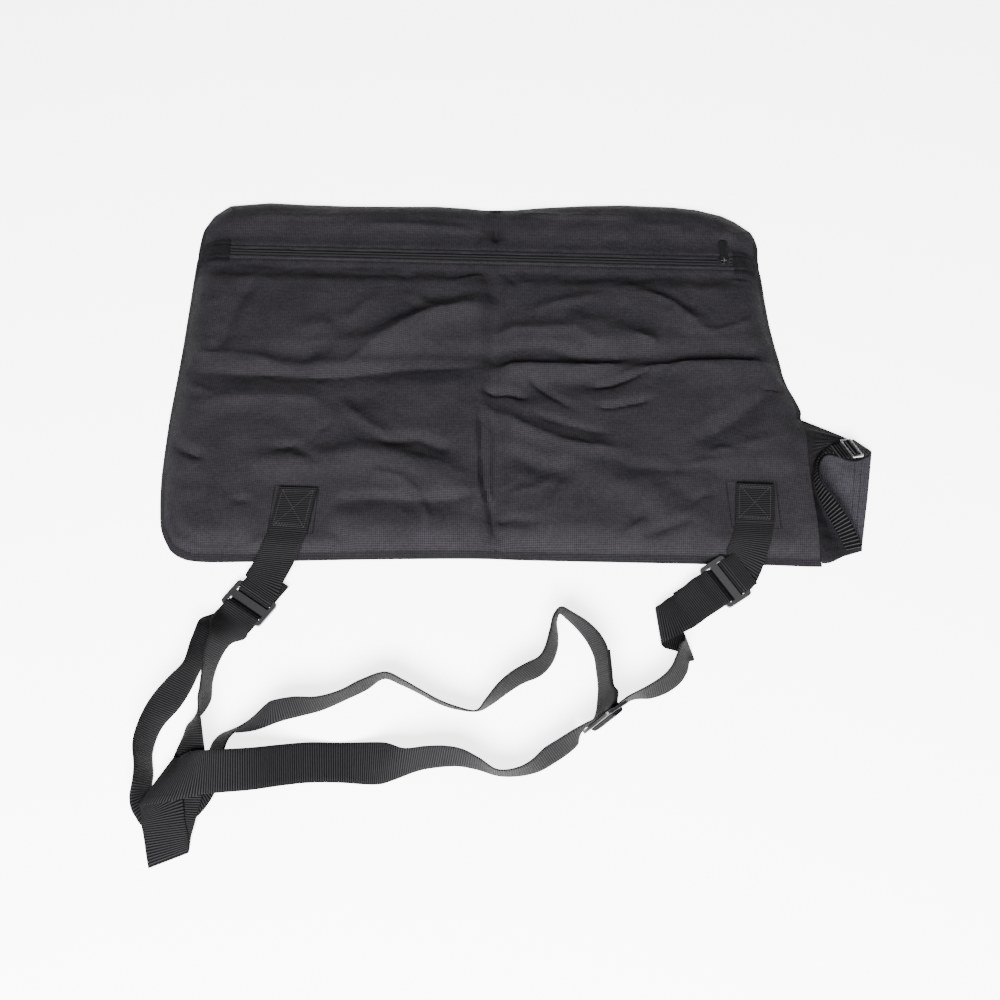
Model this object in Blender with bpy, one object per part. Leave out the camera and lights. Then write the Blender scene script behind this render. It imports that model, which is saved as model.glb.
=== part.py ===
"""Collection bag of a garden vacuum, lying flat: fabric body, zip, neck sleeve, tabs and shoulder strap.

Metres, +Z up. The origin is on the ground at the middle of the bag's back panel, +X runs towards the
neck and +Y towards the zip. The bag lies on its back panel at z = 0.
"""
import math

import bmesh
import bpy
from mathutils import Matrix, Vector

# Fabric body
BAG_WIDTH = 0.628
BAG_HEIGHT = 0.457
FABRIC = 0.001
GAP = 0.0003
LOFT = 0.0195
EDGE_ROLL = 0.042
UPPER_LOFT = 0.78
COLUMNS = 38
LOWER_ROWS = 20
UPPER_ROWS = 4

LEFT = -0.5 * BAG_WIDTH
RIGHT = 0.5 * BAG_WIDTH
TOP = 0.5 * BAG_HEIGHT
BOTTOM = -0.5 * BAG_HEIGHT
RIM = FABRIC + GAP

# Outline chains: offsets from the side lines named with them
BOTTOM_LEFT = (LEFT + 0.014, BOTTOM + 0.014)
TOP_LEFT = (LEFT + 0.015, TOP - 0.017)
TOP_RIGHT = (RIGHT - 0.024, TOP - 0.025)
BOTTOM_RIGHT = (RIGHT + 0.025, BOTTOM - 0.005)

# Fold lines left by the packing
FOLD_DEPTH = 0.0075
FOLD_HALF_WIDTH = 0.020
FOLD_X = 0.020
FOLD_Y = 0.008

# Creases: start x, y, end x, y, height, half width
CREASES = (
    (-0.160, 0.000, -0.035, 0.065, 0.0050, 0.022),
    (-0.035, 0.065, 0.010, 0.072, 0.0040, 0.020),
    (0.165, 0.085, 0.235, 0.045, 0.0045, 0.022),
    (0.110, 0.050, 0.180, 0.025, 0.0035, 0.020),
    (0.050, -0.035, 0.200, -0.015, -0.0050, 0.026),
    (-0.260, -0.060, -0.110, -0.045, -0.0035, 0.026),
    (-0.120, -0.110, 0.000, -0.165, 0.0040, 0.026),
    (0.090, -0.120, 0.200, -0.185, 0.0040, 0.026),
)

# Zip
ZIP_Y = TOP - 0.0865
ZIP_TILT = math.radians(-1.76)
ZIP_LEFT = LEFT + 0.034
ZIP_RIGHT = RIGHT - 0.026
ZIP_LEVEL = 0.0130
ZIP_SLOT_HALF = 0.008
ZIP_TAPE_HALF = 0.014
ZIP_TAPE = 0.0008
ZIP_TAPE_INNER = 0.0007
ZIP_FLAT = 0.018
ZIP_FADE = 0.026
COIL_INNER = 0.00055
COIL_OUTER = 0.0032
COIL_HEIGHT = 0.0021
END_PATCH_LAP = 0.007
END_PATCH = 0.0008
END_PATCH_HALF = 0.0155

# Slider and pull
SLIDER_LENGTH = 0.0135
SLIDER_WALL = 0.0013
SLIDER_TOP_HALF = 0.0047
SLIDER_FLANGE = 0.0010
SLIDER_BOTTOM_HALF = 0.0036
SLIDER_POST_HALF = 0.00022
SLIDER_POST_LENGTH = 0.007
SLIDER_STOP = 0.004
BRIDGE_WIDTH = 0.0016
BRIDGE_INNER = 0.0017
BRIDGE_OUTER = 0.0030
PULL_LENGTH = 0.029
PULL_WIDTH = 0.0115
PULL_ROOT_WIDTH = 0.0070
PULL_THICKNESS = 0.0013
PULL_EYE_BAR = 0.0006

# Webbing
WEBBING_WIDTH = 0.038
WEBBING = 0.0014
WEBBING_STEP = 0.0125
GROUND_CLEARANCE = 0.0002

# Strap tabs: middles of the sewn squares
TAB_LEFT_X = -0.179
TAB_RIGHT_X = 0.275
TAB_LEFT_Y = BOTTOM + 0.0475
TAB_RIGHT_Y = BOTTOM + 0.0560
TAB_LEVEL = 0.0165
TAB_FLAT = 0.029
TAB_FADE = 0.026
SEWN_GAP = 0.0006
BACKING_HALF = 0.022
BACKING = 0.0008

# Slide buckles
BUCKLE_LENGTH = 0.048
BUCKLE_THICKNESS = 0.0032
BUCKLE_SIDE_BAR = 0.0045
BUCKLE_SLOT = 0.0060
BUCKLE_MIDDLE_BAR = 0.0080
SLOT_MARGIN = 0.0007
BUCKLE_CORNER = 0.0035
SLOT_CORNER = 0.0004
BUCKLE_LEVEL = 0.0072
DOUBLED = 0.022

# Neck
NECK_EDGE_X = RIGHT + 0.022
NECK_TOP_Y = BOTTOM + 0.1705
SLEEVE = 0.0006
SLEEVE_LAP = 0.008
NECK_STRAP = 0.0012
NECK_BUCKLE_LENGTH = 0.0250
NECK_BUCKLE_THICKNESS = 0.0016
NECK_BUCKLE_SIDE_BAR = 0.0024
NECK_BUCKLE_SLOT = 0.0036
NECK_BUCKLE_MIDDLE_BAR = 0.0030
NECK_BUCKLE_PLACE = 0.79

COLOURS = {
    "fabric_dark": ((0.030, 0.028, 0.034), 0.62, 0.0),
    "fabric_inner": ((0.052, 0.049, 0.058), 0.70, 0.0),
    "webbing_black": ((0.014, 0.014, 0.015), 0.60, 0.0),
    "zip_tape_black": ((0.018, 0.017, 0.020), 0.75, 0.0),
    "zip_coil_black": ((0.012, 0.012, 0.013), 0.40, 0.0),
    "slider_black": ((0.010, 0.010, 0.011), 0.30, 0.6),
    "buckle_plastic": ((0.012, 0.012, 0.013), 0.22, 0.0),
    "buckle_metal": ((0.420, 0.420, 0.430), 0.28, 1.0),
}


def clear_scene():
    """Remove every object the file starts with."""
    for item in list(bpy.data.objects):
        bpy.data.objects.remove(item, do_unlink=True)


def material(name):
    """One plain material for a named colour."""
    found = bpy.data.materials.get(name)
    if found:
        return found
    colour, roughness, metallic = COLOURS[name]
    made = bpy.data.materials.new(name)
    made.use_nodes = True
    shader = made.node_tree.nodes["Principled BSDF"]
    shader.inputs["Base Color"].default_value = (*colour, 1.0)
    shader.inputs["Roughness"].default_value = roughness
    shader.inputs["Metallic"].default_value = metallic
    return made


def add_object(name, verts, faces, slot, smooth=None):
    """Closed mesh object with outward normals."""
    mesh = bpy.data.meshes.new(name)
    mesh.from_pydata([tuple(v) for v in verts], [], faces)
    work = bmesh.new()
    work.from_mesh(mesh)
    bmesh.ops.recalc_face_normals(work, faces=work.faces)
    work.to_mesh(mesh)
    work.free()
    mesh.materials.append(material(slot))
    item = bpy.data.objects.new(name, mesh)
    bpy.context.scene.collection.objects.link(item)
    if smooth:
        mesh.shade_smooth()
        mesh.set_sharp_from_angle(angle=math.radians(smooth))
    return item


def ease(t):
    """Smooth step from 0 to 1."""
    t = min(max(t, 0.0), 1.0)
    return t * t * (3.0 - 2.0 * t)


def mix(a, b, t):
    """Straight blend of two numbers."""
    return a + (b - a) * t


# Outline of the body


def bottom_chain():
    """Bottom edge from the left corner to the neck."""
    return [
        BOTTOM_LEFT,
        (LEFT + 0.022, BOTTOM + 0.006),
        (LEFT + 0.040, BOTTOM - 0.0005),
        (LEFT + 0.098, BOTTOM + 0.0005),
        (LEFT + 0.200, BOTTOM + 0.003),
        (-0.016, BOTTOM + 0.004),
        (FOLD_X, BOTTOM + 0.0035),
        (0.045, BOTTOM + 0.002),
        (RIGHT - 0.094, BOTTOM - 0.002),
        (RIGHT - 0.026, BOTTOM - 0.003),
        (RIGHT + 0.012, BOTTOM - 0.005),
        BOTTOM_RIGHT,
    ]


def left_chain():
    """Left edge from the bottom corner to the top corner."""
    return [
        BOTTOM_LEFT,
        (LEFT + 0.003, BOTTOM + 0.034),
        (LEFT - 0.0015, BOTTOM + 0.070),
        (LEFT - 0.0035, BOTTOM + 0.100),
        (LEFT - 0.0035, BOTTOM + 0.165),
        (LEFT, BOTTOM + 0.240),
        (LEFT + 0.001, TOP - 0.170),
        (LEFT + 0.002, TOP - 0.105),
        (LEFT + 0.003, TOP - 0.067),
        (LEFT + 0.005, TOP - 0.038),
        TOP_LEFT,
    ]


def top_chain():
    """Top edge from left to right."""
    return [
        TOP_LEFT,
        (LEFT + 0.020, TOP - 0.012),
        (LEFT + 0.032, TOP - 0.001),
        (LEFT + 0.077, TOP + 0.0035),
        (LEFT + 0.141, TOP - 0.001),
        (LEFT + 0.205, TOP - 0.002),
        (LEFT + 0.268, TOP - 0.002),
        (-0.012, TOP - 0.005),
        (FOLD_X, TOP - 0.0095),
        (0.072, TOP - 0.004),
        (0.121, TOP - 0.001),
        (0.165, TOP),
        (RIGHT - 0.093, TOP - 0.003),
        (RIGHT - 0.066, TOP - 0.007),
        (RIGHT - 0.038, TOP - 0.016),
        TOP_RIGHT,
    ]


def right_chain():
    """Right edge from the neck's lower corner to the top corner."""
    return [
        BOTTOM_RIGHT,
        (NECK_EDGE_X, BOTTOM + 0.004),
        (RIGHT + 0.0200, BOTTOM + 0.0625),
        (RIGHT + 0.0200, BOTTOM + 0.1025),
        (NECK_EDGE_X, NECK_TOP_Y - 0.003),
        (RIGHT + 0.0245, NECK_TOP_Y + 0.003),
        (RIGHT + 0.0190, NECK_TOP_Y + 0.020),
        (RIGHT + 0.0100, NECK_TOP_Y + 0.042),
        (RIGHT + 0.0080, NECK_TOP_Y + 0.066),
        (RIGHT + 0.0030, NECK_TOP_Y + 0.098),
        (RIGHT, TOP - 0.150),
        (RIGHT - 0.001, TOP - 0.110),
        (RIGHT - 0.003, TOP - 0.082),
        (RIGHT - 0.001, TOP - 0.064),
        (RIGHT - 0.003, TOP - 0.052),
        (RIGHT - 0.0065, TOP - 0.041),
        TOP_RIGHT,
    ]


def at_share(chain, share):
    """Point of a chain at a share of its length."""
    spans = [math.dist(a, b) for a, b in zip(chain, chain[1:])]
    goal = share * sum(spans)
    for (a, b), span in zip(zip(chain, chain[1:]), spans):
        if goal <= span:
            t = goal / span
            return tuple(mix(p, q, t) for p, q in zip(a, b))
        goal -= span
    return chain[-1]


def x_on(chain, y):
    """X of a rising side chain at a height y."""
    for (xa, ya), (xb, yb) in zip(chain, chain[1:]):
        if ya <= y <= yb:
            return mix(xa, xb, (y - ya) / (yb - ya))
    return chain[-1][0]


def below(chain, y):
    """Part of a side chain below y."""
    kept = [p for p in chain if p[1] < y - 0.0005]
    return kept + [(x_on(chain, y), y)]


def above(chain, y):
    """Part of a side chain above y."""
    kept = [p for p in chain if p[1] > y + 0.0005]
    return [(x_on(chain, y), y)] + kept


def zip_line(x, offset=0.0):
    """Y of the zip's middle line, or of a line beside it."""
    return ZIP_Y + x * math.tan(ZIP_TILT) + offset


BOTTOM_EDGE = bottom_chain()
LEFT_EDGE = left_chain()
TOP_EDGE = top_chain()
RIGHT_EDGE = right_chain()
SEALED = (
    RIGHT_EDGE[4:] + TOP_EDGE[::-1][1:] + LEFT_EDGE[::-1][1:] + BOTTOM_EDGE[1:]
)


def segment_distance(x, y, a, b):
    """Distance from a point to a segment in the plane."""
    dx = b[0] - a[0]
    dy = b[1] - a[1]
    t = ((x - a[0]) * dx + (y - a[1]) * dy) / (dx * dx + dy * dy)
    t = min(max(t, 0.0), 1.0)
    return math.hypot(x - a[0] - t * dx, y - a[1] - t * dy)


def edge_distance(x, y):
    """Distance to the sewn part of the outline."""
    return min(segment_distance(x, y, a, b) for a, b in zip(SEALED, SEALED[1:]))


def zip_rise(x, y):
    """Height of the flat strip under the zip, falling to the rim at both ends."""
    left = x_on(LEFT_EDGE, y)
    right = x_on(RIGHT_EDGE, y)
    share = min((x - left) / (ZIP_LEFT - left), (right - x) / (right - ZIP_RIGHT))
    share = min(max(share, 0.0), 1.0)
    return (ZIP_LEVEL - FABRIC - RIM) * math.sin(0.5 * math.pi * share)


def panel_height(x, y):
    """Underside of the front panel above the ground."""
    reach = edge_distance(x, y)
    roll = math.sin(0.5 * math.pi * min(reach / EDGE_ROLL, 1.0))
    crown = LOFT * mix(1.0, UPPER_LOFT, ease((y - zip_line(x)) / 0.03))
    ridge, hollow = 0.0, 0.0
    for x0, y0, x1, y1, height, half in CREASES:
        away = segment_distance(x, y, (x0, y0), (x1, y1))
        bump = height * (1.0 - ease(away / half))
        ridge, hollow = max(ridge, bump), min(hollow, bump)
    crown += ridge + hollow
    crown -= FOLD_DEPTH * (1.0 - ease(abs(x - FOLD_X) / FOLD_HALF_WIDTH))
    crown -= 0.7 * FOLD_DEPTH * (1.0 - ease(abs(y - FOLD_Y) / FOLD_HALF_WIDTH))
    rise = roll * crown
    weight = 1.0 - ease((abs(y - zip_line(x)) - ZIP_FLAT) / ZIP_FADE)
    rise = mix(rise, zip_rise(x, y), weight)
    for tx, ty in ((TAB_LEFT_X, TAB_LEFT_Y), (TAB_RIGHT_X, TAB_RIGHT_Y)):
        weight = 1.0 - ease((abs(x - tx) - TAB_FLAT) / TAB_FADE)
        weight *= 1.0 - ease((abs(y - ty) - TAB_FLAT) / TAB_FADE)
        weight *= ease(reach / 0.018)
        rise = mix(rise, TAB_LEVEL - FABRIC - RIM, weight)
    return RIM + rise


def coons(bottom, top, left, right, us, vs):
    """Grid of plane points between four chains."""
    grid = []
    c00, c10 = bottom[0], bottom[-1]
    c01, c11 = top[0], top[-1]
    for v in vs:
        row = []
        for u in us:
            b, t = at_share(bottom, u), at_share(top, u)
            l, r = at_share(left, v), at_share(right, v)
            point = []
            for k in range(2):
                ruled = mix(b[k], t[k], v) + mix(l[k], r[k], u)
                corner = mix(mix(c00[k], c10[k], u), mix(c01[k], c11[k], u), v)
                point.append(ruled - corner)
            row.append(tuple(point))
        grid.append(row)
    return grid


def grid_shell(name, under, over, slot):
    """Closed sheet between two grids of points, each cell split the same way on both faces."""
    rows, cols = len(under), len(under[0])
    verts = [p for row in under for p in row] + [p for row in over for p in row]
    lift = rows * cols
    middle = [(Vector(p) + Vector(q)) * 0.5 for p, q in zip(verts[:lift], verts[lift:])]
    faces = []
    for j in range(rows - 1):
        for i in range(cols - 1):
            a = j * cols + i
            b, c, d = a + 1, a + cols + 1, a + cols
            if (middle[a] - middle[c]).length <= (middle[b] - middle[d]).length:
                halves = [(a, b, c), (a, c, d)]
            else:
                halves = [(a, b, d), (b, c, d)]
            for p, q, r in halves:
                faces.append((r, q, p))
                faces.append((p + lift, q + lift, r + lift))
    ring = [i for i in range(cols)]
    ring += [j * cols + cols - 1 for j in range(1, rows)]
    ring += [(rows - 1) * cols + i for i in range(cols - 2, -1, -1)]
    ring += [j * cols for j in range(rows - 2, 0, -1)]
    for a, b in zip(ring, ring[1:] + ring[:1]):
        faces.append((a, b, b + lift, a + lift))
    return add_object(name, verts, faces, slot, smooth=50)


def panel(name, grid, height, thickness, slot):
    """Fabric sheet lying at a height over the plane grid."""
    under = [[(x, y, height(x, y)) for x, y in row] for row in grid]
    over = [[(x, y, z + thickness) for x, y, z in row] for row in under]
    return grid_shell(name, under, over, slot)


def shares(count):
    """Even shares from 0 to 1."""
    return [i / count for i in range(count + 1)]


def build_body():
    """Back panel, the two front panels and the zip's end patches."""
    grid = coons(BOTTOM_EDGE, TOP_EDGE, LEFT_EDGE, RIGHT_EDGE, shares(16), shares(10))
    panel("back_panel", grid, lambda x, y: 0.0, FABRIC, "fabric_dark")
    left_x = x_on(LEFT_EDGE, zip_line(LEFT))
    right_x = x_on(RIGHT_EDGE, zip_line(RIGHT))
    low = [(x, zip_line(x, -ZIP_SLOT_HALF)) for x in (left_x, right_x)]
    high = [(x, zip_line(x, ZIP_SLOT_HALF)) for x in (left_x, right_x)]
    low_left, low_right = below(LEFT_EDGE, low[0][1]), below(RIGHT_EDGE, low[1][1])
    high_left, high_right = above(LEFT_EDGE, high[0][1]), above(RIGHT_EDGE, high[1][1])
    low = [low_left[-1], low_right[-1]]
    high = [high_left[0], high_right[0]]
    flat = ZIP_FLAT - ZIP_SLOT_HALF
    last = 1.0 - flat / (low[0][1] - BOTTOM)
    rows = [last * v for v in shares(LOWER_ROWS)] + [1.0]
    grid = coons(BOTTOM_EDGE, low, low_left, low_right, shares(COLUMNS), rows)
    panel("front_panel_lower", grid, panel_height, FABRIC, "fabric_dark")
    first = flat / (TOP - high[0][1])
    rows = [0.0] + [mix(first, 1.0, v) for v in shares(UPPER_ROWS)]
    grid = coons(high, TOP_EDGE, high_left, high_right, shares(COLUMNS), rows)
    panel("front_panel_upper", grid, panel_height, FABRIC, "fabric_dark")
    for side, end, edge, turn in (
        ("left", ZIP_LEFT, LEFT_EDGE, 1.0),
        ("right", ZIP_RIGHT, RIGHT_EDGE, -1.0),
    ):
        outer = x_on(edge, zip_line(end))
        inner = end + turn * END_PATCH_LAP
        stops = [mix(outer + turn * 0.004, end - turn * 0.003, t) for t in shares(7)]
        stops += [end - turn * 0.0008, inner]
        grid = []
        for offset in (-END_PATCH_HALF, -0.0078, 0.0, 0.0078, END_PATCH_HALF):
            grid.append([(x, zip_line(x, offset)) for x in stops])
        panel("zip_end_patch_" + side, grid, patch_height(end, turn), END_PATCH, "fabric_dark")


def patch_height(end, turn):
    """Underside of an end patch: over the panels, then up onto the tapes."""

    def height(x, y):
        over_panel = panel_height(x, zip_line(x)) + FABRIC + GAP
        over_tape = ZIP_LEVEL + ZIP_TAPE + 2.0 * GAP
        climb = ease((turn * (x - end) + 0.0030) / 0.0022)
        return max(over_panel, mix(over_panel, over_tape, climb))

    return height


# Zip


def box(bm, x0, x1, y0, y1, z0, z1):
    """Axis aligned block in a bmesh."""
    made = bmesh.ops.create_cube(bm, size=1.0)["verts"]
    for v in made:
        v.co.x = x0 if v.co.x < 0 else x1
        v.co.y = y0 if v.co.y < 0 else y1
        v.co.z = z0 if v.co.z < 0 else z1


def bar_between(name, x0, x1, y0, y1, z0, z1, slot):
    """Straight strip along the zip, in the zip's own tilt."""
    work = bmesh.new()
    box(work, x0, x1, y0, y1, z0, z1)
    mesh = bpy.data.meshes.new(name)
    work.to_mesh(mesh)
    work.free()
    mesh.materials.append(material(slot))
    item = bpy.data.objects.new(name, mesh)
    bpy.context.scene.collection.objects.link(item)
    item.location = (0.0, ZIP_Y, 0.0)
    item.rotation_euler = (0.0, 0.0, ZIP_TILT)
    return item


def coil(name, side):
    """Row of coil teeth as one ridged strip along the tape's edge."""
    start = ZIP_LEFT + END_PATCH_LAP + 0.001
    end = ZIP_RIGHT - END_PATCH_LAP - 0.001
    base = ZIP_LEVEL + GAP + ZIP_TAPE
    profile = [
        (COIL_INNER, base + GAP),
        (COIL_OUTER, base + GAP),
        (COIL_OUTER, base + 0.6 * COIL_HEIGHT),
        (COIL_OUTER - 0.0007, base + COIL_HEIGHT),
        (COIL_INNER + 0.0006, base + COIL_HEIGHT),
        (COIL_INNER, base + 0.65 * COIL_HEIGHT),
    ]
    verts = []
    for x in (start, end):
        verts += [(x, side * y, z) for y, z in profile]
    count = len(profile)
    faces = [tuple(range(count)), tuple(range(count, 2 * count))]
    for i in range(count):
        j = (i + 1) % count
        faces.append((i, j, j + count, i + count))
    item = add_object(name, verts, faces, "zip_coil_black")
    item.location = (0.0, ZIP_Y, 0.0)
    item.rotation_euler = (0.0, 0.0, ZIP_TILT)


def build_zip():
    """Tapes, coils, slider and pull."""
    z0 = ZIP_LEVEL + GAP
    z1 = z0 + ZIP_TAPE
    for name, side in (("lower", -1.0), ("upper", 1.0)):
        inner, outer = side * ZIP_TAPE_INNER, side * ZIP_TAPE_HALF
        y0, y1 = min(inner, outer), max(inner, outer)
        bar_between("zip_tape_" + name, ZIP_LEFT, ZIP_RIGHT, y0, y1, z0, z1, "zip_tape_black")
        coil("zip_coil_" + name, side)
    build_slider(z1)


def build_slider(tape_top):
    """Slider with its post and bridge, and the pull hanging on the bridge."""
    plate = tape_top + COIL_HEIGHT + GAP
    half = 0.5 * SLIDER_LENGTH
    under = ZIP_LEVEL - 0.0006
    outer = SLIDER_TOP_HALF
    work = bmesh.new()
    section = [
        (-outer, tape_top + GAP),
        (-outer + SLIDER_FLANGE, tape_top + GAP),
        (-outer + SLIDER_FLANGE, plate),
        (-SLIDER_POST_HALF, plate),
    ]
    section += [(-y, z) for y, z in reversed(section)]
    section += [(outer - 0.0005, plate + SLIDER_WALL), (-outer + 0.0005, plate + SLIDER_WALL)]
    make_prism(work, section, -half, half)
    box(
        work,
        -half + 0.001,
        -half + 0.001 + SLIDER_POST_LENGTH,
        -SLIDER_POST_HALF,
        SLIDER_POST_HALF,
        under - 0.5 * SLIDER_WALL,
        plate + 0.5 * SLIDER_WALL,
    )
    box(work, -half, half, -SLIDER_BOTTOM_HALF, SLIDER_BOTTOM_HALF, under - SLIDER_WALL, under)
    eye_z = plate + SLIDER_WALL + BRIDGE_INNER + 0.0002
    add_bridge(work, eye_z, plate + 0.5 * SLIDER_WALL)
    x_axis = Vector((math.cos(ZIP_TILT), math.sin(ZIP_TILT), 0.0))
    centre = Vector((0.0, ZIP_Y, 0.0)) + x_axis * (ZIP_RIGHT - END_PATCH_LAP - SLIDER_STOP - half)
    slider = joined("zip_slider", work, "slider_black", 0.00025)
    slider.location = centre
    slider.rotation_euler = (0.0, 0.0, ZIP_TILT)
    pull = make_pull()
    pull.parent = slider
    pull.location = (0.0, 0.0, eye_z)
    pull.rotation_euler = (math.radians(-4.0), 0.0, 0.0)


def make_prism(work, section, x0, x1):
    """Section in the YZ plane drawn out along X."""
    rings = []
    for x in (x0, x1):
        rings.append([work.verts.new((x, y, z)) for y, z in section])
    count = len(section)
    work.faces.new(rings[0])
    work.faces.new(rings[1])
    for i in range(count):
        j = (i + 1) % count
        work.faces.new((rings[0][i], rings[0][j], rings[1][j], rings[1][i]))


def add_bridge(work, centre_z, foot_z):
    """Arch over the slider that holds the pull's eye."""
    section = []
    for k in range(9):
        angle = math.pi * k / 8.0
        section.append((BRIDGE_OUTER * math.cos(angle), centre_z + BRIDGE_OUTER * math.sin(angle)))
    section.append((-BRIDGE_OUTER, foot_z))
    section.append((-BRIDGE_INNER, foot_z))
    for k in range(8, -1, -1):
        angle = math.pi * k / 8.0
        section.append((BRIDGE_INNER * math.cos(angle), centre_z + BRIDGE_INNER * math.sin(angle)))
    section.append((BRIDGE_INNER, foot_z))
    section.append((BRIDGE_OUTER, foot_z))
    make_prism(work, section, -0.5 * BRIDGE_WIDTH, 0.5 * BRIDGE_WIDTH)


def joined(name, work, slot, edge):
    """Overlapping closed blocks of a bmesh joined to one body."""
    bmesh.ops.recalc_face_normals(work, faces=work.faces)
    pieces = split_loose(work)
    work.free()
    items = []
    for index, (verts, faces) in enumerate(pieces):
        items.append(add_object(name if index == 0 else name + "_cut", verts, faces, slot))
    body = items[0]
    for extra in items[1:]:
        union = body.modifiers.new("join", "BOOLEAN")
        union.operation = "UNION"
        union.solver = "EXACT"
        union.object = extra
        extra.hide_render = True
        extra.display_type = "WIRE"
    depsgraph = bpy.context.evaluated_depsgraph_get()
    result = bpy.data.meshes.new_from_object(body.evaluated_get(depsgraph))
    body.modifiers.clear()
    body.data = result
    for extra in items[1:]:
        bpy.data.objects.remove(extra, do_unlink=True)
    bevel_edges(body, edge)
    return body


def bevel_edges(item, width, steps=1):
    """Small round edges."""
    bevel = item.modifiers.new("round", "BEVEL")
    bevel.width = width
    bevel.segments = steps
    bevel.limit_method = "ANGLE"
    bevel.angle_limit = math.radians(40)
    item.data.shade_smooth()
    item.data.set_sharp_from_angle(angle=math.radians(40))


def split_loose(work):
    """Loose parts of a bmesh as vertex and face lists."""
    work.verts.ensure_lookup_table()
    seen = set()
    pieces = []
    for start in work.verts:
        if start in seen:
            continue
        stack, island = [start], []
        seen.add(start)
        while stack:
            v = stack.pop()
            island.append(v)
            for e in v.link_edges:
                other = e.other_vert(v)
                if other not in seen:
                    seen.add(other)
                    stack.append(other)
        index = {v: i for i, v in enumerate(island)}
        verts = [v.co.copy() for v in island]
        faces = [tuple(index[v] for v in f.verts) for f in work.faces if f.verts[0] in index]
        pieces.append((verts, faces))
    return pieces


def make_pull():
    """Pull tab with its eye bar along X through the bridge."""
    inner = 0.5 * BRIDGE_WIDTH + 0.0003
    outer = 0.5 * PULL_ROOT_WIDTH
    hole_end = BRIDGE_OUTER + 0.0009
    half = 0.5 * PULL_THICKNESS
    outline = [
        (-outer, -PULL_EYE_BAR - 0.0002),
        (outer, -PULL_EYE_BAR - 0.0002),
        (outer, 0.007),
        (0.5 * PULL_WIDTH - 0.0008, PULL_LENGTH - 0.0035),
        (0.5 * PULL_WIDTH - 0.0020, PULL_LENGTH - 0.0008),
        (0.5 * PULL_WIDTH - 0.0035, PULL_LENGTH),
        (-0.5 * PULL_WIDTH + 0.0035, PULL_LENGTH),
        (-0.5 * PULL_WIDTH + 0.0020, PULL_LENGTH - 0.0008),
        (-0.5 * PULL_WIDTH + 0.0008, PULL_LENGTH - 0.0035),
        (-outer, 0.007),
    ]
    hole = [(-inner, PULL_EYE_BAR), (inner, PULL_EYE_BAR), (inner, hole_end), (-inner, hole_end)]
    item = plate_with_holes("zip_pull", outline, [hole], half, "slider_black")
    bevel_edges(item, 0.0003, 2)
    return item


# Plates with holes, such as the buckles


def plate_with_holes(name, outline, holes, half, slot):
    """Flat plate in the XY plane with open holes, one closed body."""
    work = bmesh.new()
    loops = []
    for points in [outline] + holes:
        verts = [work.verts.new((x, y, -half)) for x, y in points]
        edges = [work.edges.new((a, b)) for a, b in zip(verts, verts[1:] + verts[:1])]
        loops.append((verts, edges))
    edges = [e for _, group in loops for e in group]
    filled = bmesh.ops.triangle_fill(work, use_beauty=True, use_dissolve=False, edges=edges)
    bottom = [f for f in filled["geom"] if isinstance(f, bmesh.types.BMFace)]
    grown = bmesh.ops.extrude_face_region(work, geom=bottom)
    for v in grown["geom"]:
        if isinstance(v, bmesh.types.BMVert):
            v.co.z = half
    lid = list(work.faces)
    bmesh.ops.recalc_face_normals(work, faces=lid)
    mesh = bpy.data.meshes.new(name)
    work.to_mesh(mesh)
    work.free()
    mesh.materials.append(material(slot))
    item = bpy.data.objects.new(name, mesh)
    bpy.context.scene.collection.objects.link(item)
    return item


def rounded(x0, x1, y0, y1, radius, steps):
    """Rectangle with round corners, as a list of points."""
    points = []
    corners = (
        (x1 - radius, y0 + radius, -90),
        (x1 - radius, y1 - radius, 0),
        (x0 + radius, y1 - radius, 90),
        (x0 + radius, y0 + radius, 180),
    )
    for cx, cy, start in corners:
        for k in range(steps + 1):
            angle = math.radians(start + 90.0 * k / steps)
            points.append((cx + radius * math.cos(angle), cy + radius * math.sin(angle)))
    return points


def slide_buckle(name, frame, length, thickness, side, slot_width, middle, slot_length, slot):
    """Three-bar buckle: two side bars, a middle bar and two slots."""
    half_width = 0.5 * middle + slot_width + side
    corner = min(BUCKLE_CORNER, 0.8 * side)
    outline = rounded(-0.5 * length, 0.5 * length, -half_width, half_width, corner, 3)
    holes = []
    for sign in (-1.0, 1.0):
        y0, y1 = sorted((sign * 0.5 * middle, sign * (0.5 * middle + slot_width)))
        radius = min(SLOT_CORNER, 0.25 * slot_width)
        holes.append(rounded(-0.5 * slot_length, 0.5 * slot_length, y0, y1, radius, 1))
    item = plate_with_holes(name, outline, holes, 0.5 * thickness, slot)
    big = thickness > 0.002
    bevel_edges(item, 0.0005 if big else 0.0003, 2 if big else 1)
    item.matrix_world = frame
    return item


def frame_matrix(centre, u, v):
    """Placing matrix with local X along u, Y along v."""
    u = Vector(u).normalized()
    w = u.cross(Vector(v)).normalized()
    v = w.cross(u)
    turn = Matrix((u, v, w)).transposed().to_4x4()
    return Matrix.Translation(Vector(centre)) @ turn


def mm(*values):
    """Millimetres as a vector in metres."""
    return Vector(values) * 0.001


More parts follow.
